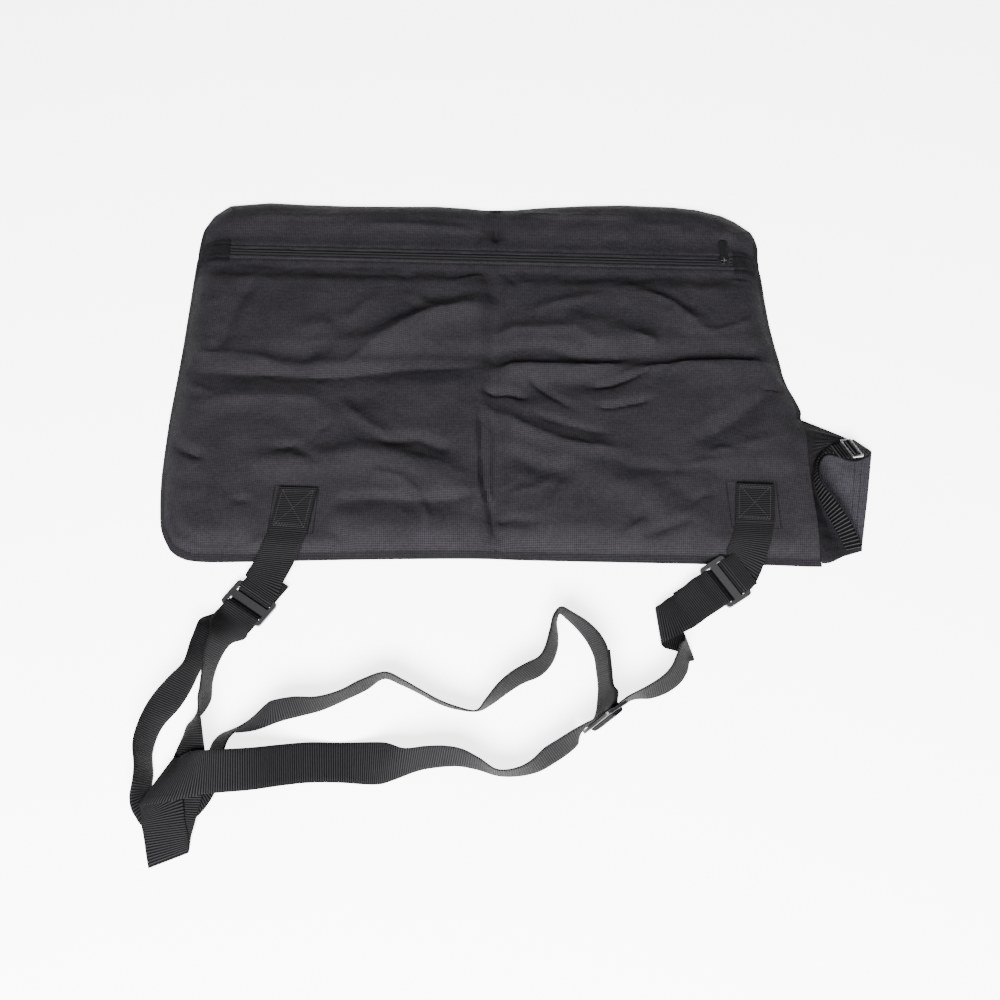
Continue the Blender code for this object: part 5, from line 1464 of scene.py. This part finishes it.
def middle_loop():
    """Sewn loop round the middle bar of the middle buckle."""
    side = 1000.0 * (SLOT_INNER + BESIDE)
    back = -1000.0 * OVER_BAR
    path = [
        (13.5, 11.5),
        (9.5, 7.7),
        (6.3, 4.6),
        (side + 0.3, 2.2),
        (side, 0.8),
        (side, -1.5),
        (side - 0.4, -2.2),
        (side - 1.3, back),
        (-side + 1.3, back),
        (-side + 0.4, -2.2),
        (-side, -1.5),
        (-side, 0.8),
        (-side + 0.7, 2.6),
        (-2.2, 3.9),
        (1.2, 5.1),
        (4.6, 6.8),
        (8.2, 9.2),
        (12.3, 12.8),
    ]
    return [upright(v, w) for v, w in path]


def middle_passage():
    """Strap running through both slots, over the sewn loop."""
    half = [(-22.0, 2.4), (-17.0, 3.2), (-13.0, 3.0), (-10.2, 2.8), (-8.4, 2.0), (-7.4, 0.4)]
    half += [(-6.8, -1.6), (-6.3, -3.1), (-5.0, -4.1), (-3.3, -4.4)]
    path = half + [(-v, w) for v, w in half[::-1][:-1]]
    return [upright(v, w) for v, w in path]


def ruling_width(ruling):
    """Width of a ruling: the webbing's own, or the measured one at a fold."""
    return WEBBING_WIDTH if ruling[2] == "laid" else (ruling[1] - ruling[0]).length


def slope(points, knots, i):
    """Slope of the smooth curve at one of its points."""
    if i == 0:
        return (points[1] - points[0]) / (knots[1] - knots[0])
    left = (points[i] - points[i - 1]) / (knots[i] - knots[i - 1])
    if i == len(points) - 1:
        return left
    right = (points[i + 1] - points[i]) / (knots[i + 1] - knots[i])
    before, after = knots[i] - knots[i - 1], knots[i + 1] - knots[i]
    return (left * after + right * before) / (before + after)


def curve_point(points, knots, i, t):
    """Point on the smooth curve through the points, between point i and the next."""
    span = knots[i + 1] - knots[i]
    h00, h10 = 2 * t**3 - 3 * t**2 + 1, t**3 - 2 * t**2 + t
    h01, h11 = -2 * t**3 + 3 * t**2, t**3 - t**2
    before, after = slope(points, knots, i), slope(points, knots, i + 1)
    start = points[i] * h00 + before * (h10 * span)
    return start + points[i + 1] * h01 + after * (h11 * span)


def settle(near, far, width):
    """Ruling at its width, kept above the ground."""
    middle = (near + far) * 0.5
    along = (far - near).normalized() * (0.5 * width)
    near, far = middle - along, middle + along
    lean = math.hypot(along.x, along.y) / along.length
    floor = GROUND_CLEARANCE + 0.5 * WEBBING * min(1.0, lean)
    up = Vector((0.0, 0.0, max(0.0, floor - min(near.z, far.z))))
    return near + up, far + up


def rulings(rows, step):
    """Close rulings through the key rulings."""
    sides = [[row[side] for row in rows] for side in (0, 1)]
    mids = [(near + far) * 0.5 for near, far in zip(*sides)]
    knots = [0.0]
    for a, b in zip(mids, mids[1:]):
        knots.append(knots[-1] + max((b - a).length, 0.0004) ** 0.5)
    out = []
    for i in range(len(rows) - 1):
        count = max(1, round((mids[i + 1] - mids[i]).length / step))
        for k in range(count):
            t = k / count
            ends = [curve_point(points, knots, i, t) for points in sides]
            out.append(settle(*ends, mix(ruling_width(rows[i]), ruling_width(rows[i + 1]), t)))
    out.append(settle(*rows[-1][:2], ruling_width(rows[-1])))
    return out


def strip(name, stations, node_name=None, thickness=WEBBING, finish="webbing"):
    """Closed band with thin rounded edges along rulings, which keeps its own length and width."""
    count = len(stations)
    mids = [(near + far) * 0.5 for near, far in stations]
    normals = []
    for i, (near, far) in enumerate(stations):
        along = mids[min(i + 1, count - 1)] - mids[max(i - 1, 0)]
        normal = along.cross(far - near)
        normals.append(normal.normalized() if normal.length > 1e-12 else Vector((0.0, 0.0, 1.0)))
    verts, lengths, widths = [], [], []
    travelled = 0.0
    for i, (near, far) in enumerate(stations):
        travelled += (mids[i] - mids[i - 1]).length if i else 0.0
        width = (far - near).length
        ring = [(share, 1.0) for share in STRIP_SHARES]
        ring += [(share, -1.0) for share in STRIP_SHARES[::-1]]
        for share, face in ring:
            thin = STRIP_EDGE if abs(share) == 0.5 else 0.94 + 0.06 * (abs(share) < 0.4)
            lift = normals[i] * (face * thin * 0.5 * thickness)
            verts.append(mids[i] + (far - near) * share + lift)
            lengths.append(travelled)
            widths.append(share * width)
    size = 2 * len(STRIP_SHARES)
    faces = end_faces(count, size) + ring_faces(count, size)
    made = new_piece(name, verts, faces, finish, smooth=70)
    for label, values in (("along", lengths), ("across", widths)):
        made.data.attributes.new(label, "FLOAT", "POINT").data.foreach_set("value", values)
    if node_name:
        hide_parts(node_name)
    return made


def shoulder_keys():
    """Rulings of the whole shoulder strap, from its sewn end to its other end."""
    out = moved(STRAP_OUT, LEFT_ANCHOR)
    shift = 0.5 * (WEBBING + GAP)
    doubled, main = [], []
    for i, (near, far, kind) in enumerate(out):
        if i > 2:
            main.append((near, far, kind))
            continue
        after, before = out[i + 1], out[max(i - 1, 0)]
        along = (after[0] + after[1]) - (before[0] + before[1])
        side = along.cross(far - near).normalized() * shift
        main.append((near - side, far - side, kind))
        doubled.append((near + side, far + side, kind))
    rows = doubled[::-1] + middle_loop() + main + moved(STRAP_UP, LEFT_ANCHOR)
    rows += side_loop(LEFT_FRAME, -1.0, LEFT_LOOP, LEFT_LOOP, top_first=False)
    rows += moved(STRAP_DOWN, LEFT_ANCHOR) + moved(STRAP_BACK, LEFT_ANCHOR)
    rows += middle_passage() + moved(STRAP_OVER, LEFT_ANCHOR) + moved(STRAP_END, RIGHT_ANCHOR)
    rows += side_loop(RIGHT_FRAME, -1.0, RIGHT_LOOP, RIGHT_LOOP_END, lift=0.0012)
    return rows


def box_middle(box):
    """Middle of four corners."""
    return tuple(sum(p[k] for p in box) / 4.0 for k in range(3))


# Turned-over ends sewn on the tabs: lower edge, then upper edge, in millimetres from the middle
TAB_SQUARES = (
    ("left", LEFT_ANCHOR, ((-21.5, -21.5), (16.0, -24.5), (-15.0, 26.2), (22.8, 25.2))),
    ("right", RIGHT_ANCHOR, ((-19.5, -21.0), (18.3, -22.6), (-15.2, 22.8), (22.2, 21.2))),
)

# Stitched boxes on the tabs, in millimetres from each tab's middle
TAB_BOXES = (
    (LEFT_ANCHOR, ((-11.5, 23), (19, 22.5), (12.5, -19.5), (-17.5, -16.5))),
    (RIGHT_ANCHOR, ((-12, 19.5), (18.5, 18), (14.5, -19), (-16, -17))),
)


class BAG_OT_tabs(bpy.types.Operator):
    """Make the two sewn tab straps, their stitching, and loose webbing under their buckles that
    stands in for the shade in the slots.
    """

    bl_idname = "bag.tabs"
    bl_label = "Tab straps"

    def execute(self, context):
        tail = SLOT_OUTER + BUCKLE_SIDE_BAR + DOUBLED
        left_loop = side_loop(LEFT_FRAME, 1.0, TAB_LOOP, tail)
        right_loop = side_loop(RIGHT_FRAME, 1.0, TAB_LOOP, tail - RIGHT_TAIL_CUT, False)
        for name, rows, anchor, loop in (
            ("left", LEFT_TAB, LEFT_ANCHOR, left_loop),
            ("right", RIGHT_TAB, RIGHT_ANCHOR, right_loop),
        ):
            path = [(far, near, kind) for near, far, kind in moved(rows, anchor)] + loop
            strip(f"tab_webbing_{name}", rulings(path, TAB_STEP), f"{name}_tab_strap")
        up = Vector((0.0, 0.0, SEWN_LEVEL * 0.001 + WEBBING + GAP))
        for name, anchor, corners in TAB_SQUARES:
            ends = [anchor + mm(x, y, 0.0) + up for x, y in corners]
            path = [(ends[0], ends[1], "kept"), (ends[2], ends[3], "kept")]
            strip(f"tab_square_{name}", rulings(path, TAB_STEP))
        level = SEWN_LEVEL * 0.001 + 1.5 * WEBBING + GAP
        lines = []
        for anchor, corners in TAB_BOXES:
            box = [(anchor.x + x * 0.001, anchor.y + y * 0.001, level) for x, y in corners]
            lines.append(dense(square(box), STITCH_POINTS))
            inner = [tuple(mix(c, m, 0.10) for c, m in zip(p, box_middle(box))) for p in box]
            pairs = ((inner[0], inner[1]), (inner[2], inner[3]), (box[0], box[2]), (box[1], box[3]))
            lines += [dense(pair, STITCH_POINTS) for pair in pairs]
        stitches("tab_stitching", lines, 0.8, "pale_thread")
        # Loose webbing under the middle bar of the left and the right buckle, not joined to the
        # strap: a dark filler seen through the slots as painted shade
        within = LOOP_INSIDE - WEBBING - GAP
        half = [(within, 0.0012), (within, -0.0010)]
        half += [(within - 0.0004, 0.0006 - OVER_BAR), (within - 0.0016, -OVER_BAR)]
        for name, place in (("left", LEFT_FRAME), ("right", RIGHT_FRAME)):
            path = [in_frame(place, v, w) for v, w in half + [(-v, w) for v, w in half[::-1]]]
            strip(f"buckle_slot_shade_{name}", rulings(path, UNDER_STEP))
        return {"FINISHED"}


class BAG_OT_shoulder_strap(bpy.types.Operator):
    """Make the long shoulder strap through the three buckles."""

    bl_idname = "bag.shoulder_strap"
    bl_label = "Shoulder strap"

    def execute(self, context):
        strip("shoulder_webbing", rulings(shoulder_keys(), STRAP_STEP), "shoulder_strap")
        return {"FINISHED"}


class BAG_OT_buckles(bpy.types.Operator):
    """Give the slide buckles their glossy plastic and the neck buckle its plating."""

    bl_idname = "bag.buckles"
    bl_label = "Buckles"

    def execute(self, context):
        finishes = {"left": "plastic", "middle": "plastic", "right": "plastic", "neck": "steel"}
        for place, finish in finishes.items():
            refinish(place + "_buckle", finish)
        return {"FINISHED"}


# Neck: rows of the sleeve in millimetres from the neck's lower end at the body

NECK_ORIGIN = Vector((RIGHT + 0.023, BOTTOM - 0.0035, 0.0))
NECK_VALLEY = [
    (24, 10, 2.6),
    (21, 18, 5),
    (14, 36, 7),
    (9, 54, 8),
    (4, 72, 10),
    (1.5, 84, 13),
    (1.5, 94, 13),
    (4, 104, 13),
    (10, 117, 15),
    (18, 125, 17),
    (26, 130, 17),
    (33, 134, 15),
    (40, 138, 11),
    (44, 143, 5),
    (45, 145, 2.6),
]
NECK_MOUTH = [
    (43, 16, 2.6),
    (41, 23, 8),
    (31, 44, 17),
    (20, 62, 22),
    (10, 77, 25),
    (6.5, 86, 26.5),
    (6, 96, 26.5),
    (9, 105, 26),
    (15, 111, 25),
    (25, 110.5, 23.5),
    (35, 107.5, 21.5),
    (45, 108, 18.5),
    (55, 114, 13),
    (64.5, 123, 5),
    (67.5, 127.5, 2.6),
]
BACK_VALLEY = [(45, 145), (40, 118), (36, 92), (32, 66), (28, 38), (24, 10)]
BACK_MOUTH = [(67.5, 127.5), (62, 101), (56.5, 75), (51, 51), (45.5, 27), (43, 16)]
FRONT_STEPS = 28


def soft_row(chain, t, height=None):
    """Smooth point of a neck chain at a share of its count."""
    points = [Vector(p) if len(p) == 3 else Vector((*p, height)) for p in chain]
    place = min(max(t, 0.0), 1.0) * (len(points) - 1)
    i = min(int(place), len(points) - 2)
    u = place - i
    before, after = points[max(i - 1, 0)], points[min(i + 2, len(points) - 1)]
    a, b = points[i], points[i + 1]
    ta, tb = (b - before) * 0.5, (after - a) * 0.5
    h10, h11 = u**3 - 2 * u**2 + u, u**3 - u**2
    h01 = -2 * u**3 + 3 * u**2
    return NECK_ORIGIN + (a * (1.0 - h01) + ta * h10 + b * h01 + tb * h11) * 0.001


def front_rows(t):
    """The front layer's four rows from inside the body to the mouth at one place along it."""
    edge_y = mix(BOTTOM + NECK_CORNER, NECK_TOP_Y - NECK_CORNER, t)
    edge_x = float(x_on(RIGHT_EDGE, edge_y))
    rows = []
    for x in (edge_x - SLEEVE_LAP, edge_x - 0.0005):
        round_end = 1.0 - float(ease((edge_distance(x, edge_y) - 0.02) / EDGE_ROLL))
        top = float(min(plain_height(x, edge_y), plain_height(x - 0.014, edge_y)))
        top -= SLEEVE + GAP + 0.0012 * round_end
        rows.append(Vector((x, edge_y, max(top, RIM + 0.0016))))
    return rows + [soft_row(NECK_VALLEY, t), soft_row(NECK_MOUTH, t)]


def back_rows(t):
    """The back layer's four rows, t from the upper corner to the lower one."""
    edge_y = mix(NECK_TOP_Y - NECK_CORNER, BOTTOM + NECK_CORNER, t)
    edge_x = float(x_on(RIGHT_EDGE, edge_y))
    inside = Vector((edge_x - SLEEVE_LAP, edge_y, RIM + SLEEVE))
    edge = Vector((edge_x + 0.001, edge_y, RIM + SLEEVE))
    return [inside, edge, soft_row(BACK_VALLEY, t, 1.0), soft_row(BACK_MOUTH, t, 1.0)]


def across_rows(rows, s):
    """Point between the four rows, with the bends at the rows rounded."""
    total = Vector((0.0, 0.0, 0.0))
    for nudge in (-1.0, -0.5, 0.0, 0.5, 1.0):
        room = min(s, 1.0 - s, 0.07)
        place = min(max(s + nudge * room, 0.0), 1.0) * 3.0
        i = min(int(place), 2)
        total += rows[i].lerp(rows[i + 1], place - i)
    return total / 5.0


def front_point(t, s):
    """Front layer of the sleeve."""
    return across_rows(front_rows(t), s)


def upward_normal(point, t, s):
    """Upward normal of a front layer whose point function is given."""
    e = 1.0 / FRONT_STEPS
    along = point(min(t + e, 1.0), s) - point(max(t - e, 0.0), s)
    out = point(t, min(s + e, 1.0)) - point(t, max(s - e, 0.0))
    normal = out.cross(along).normalized()
    return normal if normal.z > 0 else -normal


def sleeve_rings():
    """Rings of the sleeve from inside the body to its mouth, their normals and the hem's fold."""
    shares = np.linspace(0.0, 1.0, 43)
    shares = np.sort(np.concatenate((shares, (0.742, 0.746, 0.754, 0.766))))
    front, back = 150, 70
    columns = [back_rows(i / back) for i in range(back + 1)]
    columns += [front_rows(i / front) for i in range(front + 1)]
    rings = np.array([[across_rows(rows, s) for rows in columns] for s in shares])
    along = np.gradient(rings, axis=0)
    around = np.roll(rings, -1, axis=1) - np.roll(rings, 1, axis=1)
    normal = np.cross(along, around)
    normal /= np.maximum(np.linalg.norm(normal, axis=2, keepdims=True), 1e-12)
    over = np.linspace(0.0, 1.0, front + 1)
    t = np.concatenate((np.zeros(back + 1), over))[None, :]
    s = shares[:, None]
    window = ease((s - 0.36) / 0.12) * (1.0 - ease((s - 0.62) / 0.10))
    ends = ease(t / 0.12) * ease((1.0 - t) / 0.12)
    pleat = PLEAT * np.sin(t * 120.0 + 3.0 * np.sin(t * 17.0)) * window * ends
    rings = rings + normal * pleat[..., None]
    joint = np.concatenate((1.0 - np.linspace(0.0, 1.0, back + 1), over))[None, :]
    sag = 1.0 - ease(joint / 0.14)
    sag = sag * ease((s - 0.330) / 0.012) * (1.0 - ease((s - 0.42) / 0.30))
    rings[..., 1] -= LOWER_SAG * sag
    return rings, normal, HEM_FOLD * ease((s - HEM_START) / 0.006) * np.ones(t.shape)


class BAG_OT_neck_sleeve(bpy.types.Operator):
    """Make the gathered fabric sleeve with its hem."""

    bl_idname = "bag.neck_sleeve"
    bl_label = "Neck sleeve"

    def execute(self, context):
        rings, normal, hem = sleeve_rings()
        inner = rings - normal * hem[..., None]
        outer = rings + normal * SLEEVE
        rows, cols = rings.shape[:2]
        verts = np.concatenate((inner.reshape(-1, 3), outer.reshape(-1, 3)))
        lift = rows * cols
        faces = []
        for a, b, c, d in ring_faces(rows, cols):
            faces += [(a, b, c, d), (d + lift, c + lift, b + lift, a + lift)]
        for j in (0, rows - 1):
            for i in range(cols):
                a, b = j * cols + i, j * cols + (i + 1) % cols
                faces.append((a, b, b + lift, a + lift))
        sleeve = new_piece("neck_fabric", verts, faces, "inner", smooth=60)
        # The outer faces take the darker copy of the fabric: the sleeve's outer side, made darker
        # than the bag's fabric as painted shade for the deep valley between the body and the strap
        sleeve.data.materials.append(finish_named("cover"))
        for face in sleeve.data.polygons:
            face.material_index = int(any(v >= lift for v in face.vertices))
        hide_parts("neck_sleeve")
        lines = []
        for place in HEM_ROWS:
            line = [across_rows(back_rows(i / 64.0), place) for i in range(5, 60)]
            lines.append([(point.x, point.y, point.z + HEM_FOLD) for point in line])
        stitches("neck_stitching", lines)
        return {"FINISHED"}


def plain_front(t, s):
    """Front layer as the part's source has it, with straight runs between its points."""
    rows = front_rows(t)
    for index, chain in ((2, NECK_VALLEY), (3, NECK_MOUTH)):
        place = t * (len(chain) - 1)
        i = min(int(place), len(chain) - 2)
        rows[index] = NECK_ORIGIN + mm(*chain[i]).lerp(mm(*chain[i + 1]), place - i)
    place = s * 3.0
    i = min(int(place), 2)
    return rows[i].lerp(rows[i + 1], place - i)


class BAG_OT_neck_strap(bpy.types.Operator):
    """Make the ribbed strap along the neck's rim and its loose end."""

    bl_idname = "bag.neck_strap"
    bl_label = "Neck strap"

    def execute(self, context):
        offset = 0.5 * NECK_STRAP + SLEEVE + 5.0 * GAP
        stations = []
        steps = 4 * FRONT_STEPS
        for i in range(4, steps - 3):
            t = i / steps
            turn = 1.0 - float(ease(abs(t - NECK_TURN) / NECK_TURN_REACH))
            ends = []
            for s in (NECK_STRAP_INNER + NECK_STRAP_NARROW * turn, NECK_STRAP_OUTER):
                ends.append(front_point(t, s) + upward_normal(front_point, t, s) * offset)
            stations.append(tuple(ends))
        strip("neck_webbing", stations, "neck_strap", NECK_STRAP, "neck_webbing")
        place = self.buckle_place(offset)
        half = 0.5 * NECK_BUCKLE_LENGTH - NECK_BUCKLE_SIDE_BAR - 0.0006
        over = 0.5 * (NECK_BUCKLE_THICKNESS + NECK_STRAP) + GAP
        outer = 0.5 * NECK_BUCKLE_MIDDLE_BAR + NECK_BUCKLE_SLOT + NECK_BUCKLE_SIDE_BAR
        mid = 0.5 * (NECK_BUCKLE_MIDDLE_BAR + NECK_BUCKLE_SLOT)
        path = [
            (-outer - 0.003, over + 0.0003),
            (-outer + 0.0008, over),
            (-mid - 0.0010, over - 0.0002),
            (-mid + 0.0002, 0.0),
            (-mid + 0.0012, -over),
            (mid - 0.0012, -over),
            (mid - 0.0002, 0.0),
            (mid + 0.0010, over - 0.0002),
            (outer - 0.0008, over),
            (outer + 0.003, over + 0.0004),
            (outer + 0.012, over + 0.0012),
        ]
        rows = []
        for v, w in path:
            rows.append((place @ Vector((half, v, w)), place @ Vector((-half, v, w)), "kept"))
        tail = rulings(rows, TAIL_STEP)
        strip("neck_webbing_end", tail, "neck_strap_tail", NECK_STRAP, "neck_webbing")
        return {"FINISHED"}

    def buckle_place(self, offset):
        """Placing matrix of the small buckle, as in the part's source."""
        t, s = NECK_BUCKLE_PLACE, NECK_BUCKLE_ACROSS
        normal = upward_normal(plain_front, t, s)
        lift = offset + 0.5 * NECK_STRAP + 0.5 * NECK_BUCKLE_THICKNESS + NECK_STRAP + 2.0 * GAP
        across = plain_front(t, 1.0) - plain_front(t, 0.7)
        return frame_matrix(plain_front(t, s) + normal * lift, across, across.cross(normal))


# Studio


class BAG_OT_camera(bpy.types.Operator):
    """Place the camera at the photograph's viewing angle."""

    bl_idname = "bag.camera"
    bl_label = "Camera"

    def execute(self, context):
        camera = bpy.data.objects.new("camera", bpy.data.cameras.new("camera"))
        camera.data.lens = CAMERA_LENS
        camera.data.sensor_width = 36.0
        camera.location = CAMERA_PLACE
        camera.rotation_euler = (CAMERA_PITCH, 0.0, 0.0)
        context.scene.collection.objects.link(camera)
        context.scene.camera = camera
        return {"FINISHED"}


def softbox(name, place, size, power):
    """Large rectangular light aimed at the bag."""
    light = bpy.data.lights.new(name, "AREA")
    light.shape = "RECTANGLE"
    light.size, light.size_y = size
    light.energy = power
    item = bpy.data.objects.new(name, light)
    item.location = place
    aim = Vector(LIGHT_TARGET) - Vector(place)
    item.rotation_euler = aim.to_track_quat("-Z", "Y").to_euler()
    bpy.context.scene.collection.objects.link(item)


class BAG_OT_stage(bpy.types.Operator):
    """Lay the pale floor and set the soft studio lights."""

    bl_idname = "bag.stage"
    bl_label = "Stage"

    def execute(self, context):
        made, tree, shader = finish_nodes("studio_floor")
        pale = context.scene.bag_colours.floor
        tone = blend_colours(tree, clouds(tree, 3.0), pale, shade(pale, 0.985))
        drive(tree, shader, "Base Color", tone)
        set_all(shader, Roughness=0.85, Specular_IOR_Level=0.2)
        set_all(shader, Emission_Color=(1.0, 1.0, 1.0, 1.0), Emission_Strength=FLOOR_GLOW)
        mesh = bpy.data.meshes.new("floor")
        signs = ((-1, -1), (1, -1), (1, 1), (-1, 1))
        corners = [(x * FLOOR_HALF, y * FLOOR_HALF, 0) for x, y in signs]
        mesh.from_pydata(corners, [], [(0, 1, 2, 3)])
        mesh.materials.append(made)
        floor = bpy.data.objects.new("floor", mesh)
        floor.location.z = -FLOOR_DROP
        context.scene.collection.objects.link(floor)
        world = bpy.data.worlds.new("studio")
        world.use_nodes = True
        background = world.node_tree.nodes["Background"]
        set_all(background, Color=(1.0, 1.0, 1.0, 1.0), Strength=WORLD_GLOW)
        context.scene.world = world
        for name, values in SOFTBOXES.items():
            softbox(name, *values)
        return {"FINISHED"}


# Panel and start


class BAG_PT_tools(bpy.types.Panel):
    """Buttons for the bag's pieces, with its sizes and colours."""

    bl_idname = "BAG_PT_tools"
    bl_label = "Garden Bag"
    bl_space_type = "VIEW_3D"
    bl_region_type = "UI"
    bl_category = "Garden Bag"

    def draw(self, context):
        for operator in OPERATORS:
            self.layout.operator(operator.bl_idname)
        for group in (context.scene.bag_sizes, context.scene.bag_colours):
            for name in group.__annotations__:
                self.layout.prop(group, name)


OPERATORS = (
    BAG_OT_camera,
    BAG_OT_stage,
    BAG_OT_back_fabric,
    BAG_OT_front_fabric,
    BAG_OT_zip,
    BAG_OT_slider,
    BAG_OT_body_stitching,
    BAG_OT_tabs,
    BAG_OT_shoulder_strap,
    BAG_OT_buckles,
    BAG_OT_neck_sleeve,
    BAG_OT_neck_strap,
)
CLASSES = (BagSizes, BagColours, *OPERATORS, BAG_PT_tools)


def register():
    """Register the classes and the scene's properties."""
    for item in CLASSES:
        bpy.utils.register_class(item)
    bpy.types.Scene.bag_sizes = bpy.props.PointerProperty(type=BagSizes)
    bpy.types.Scene.bag_colours = bpy.props.PointerProperty(type=BagColours)


def unregister():
    """Remove the scene's properties and the classes."""
    del bpy.types.Scene.bag_colours
    del bpy.types.Scene.bag_sizes
    for item in reversed(CLASSES):
        bpy.utils.unregister_class(item)


def main():
    """Build the bag in order."""
    register()
    bpy.ops.bag.camera()
    bpy.ops.bag.stage()
    bpy.ops.bag.back_fabric()
    bpy.ops.bag.front_fabric()
    bpy.ops.bag.zip()
    bpy.ops.bag.slider()
    bpy.ops.bag.body_stitching()
    bpy.ops.bag.tabs()
    bpy.ops.bag.shoulder_strap()
    bpy.ops.bag.buckles()
    bpy.ops.bag.neck_sleeve()
    bpy.ops.bag.neck_strap()
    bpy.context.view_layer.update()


if __name__ == "__main__":
    main()
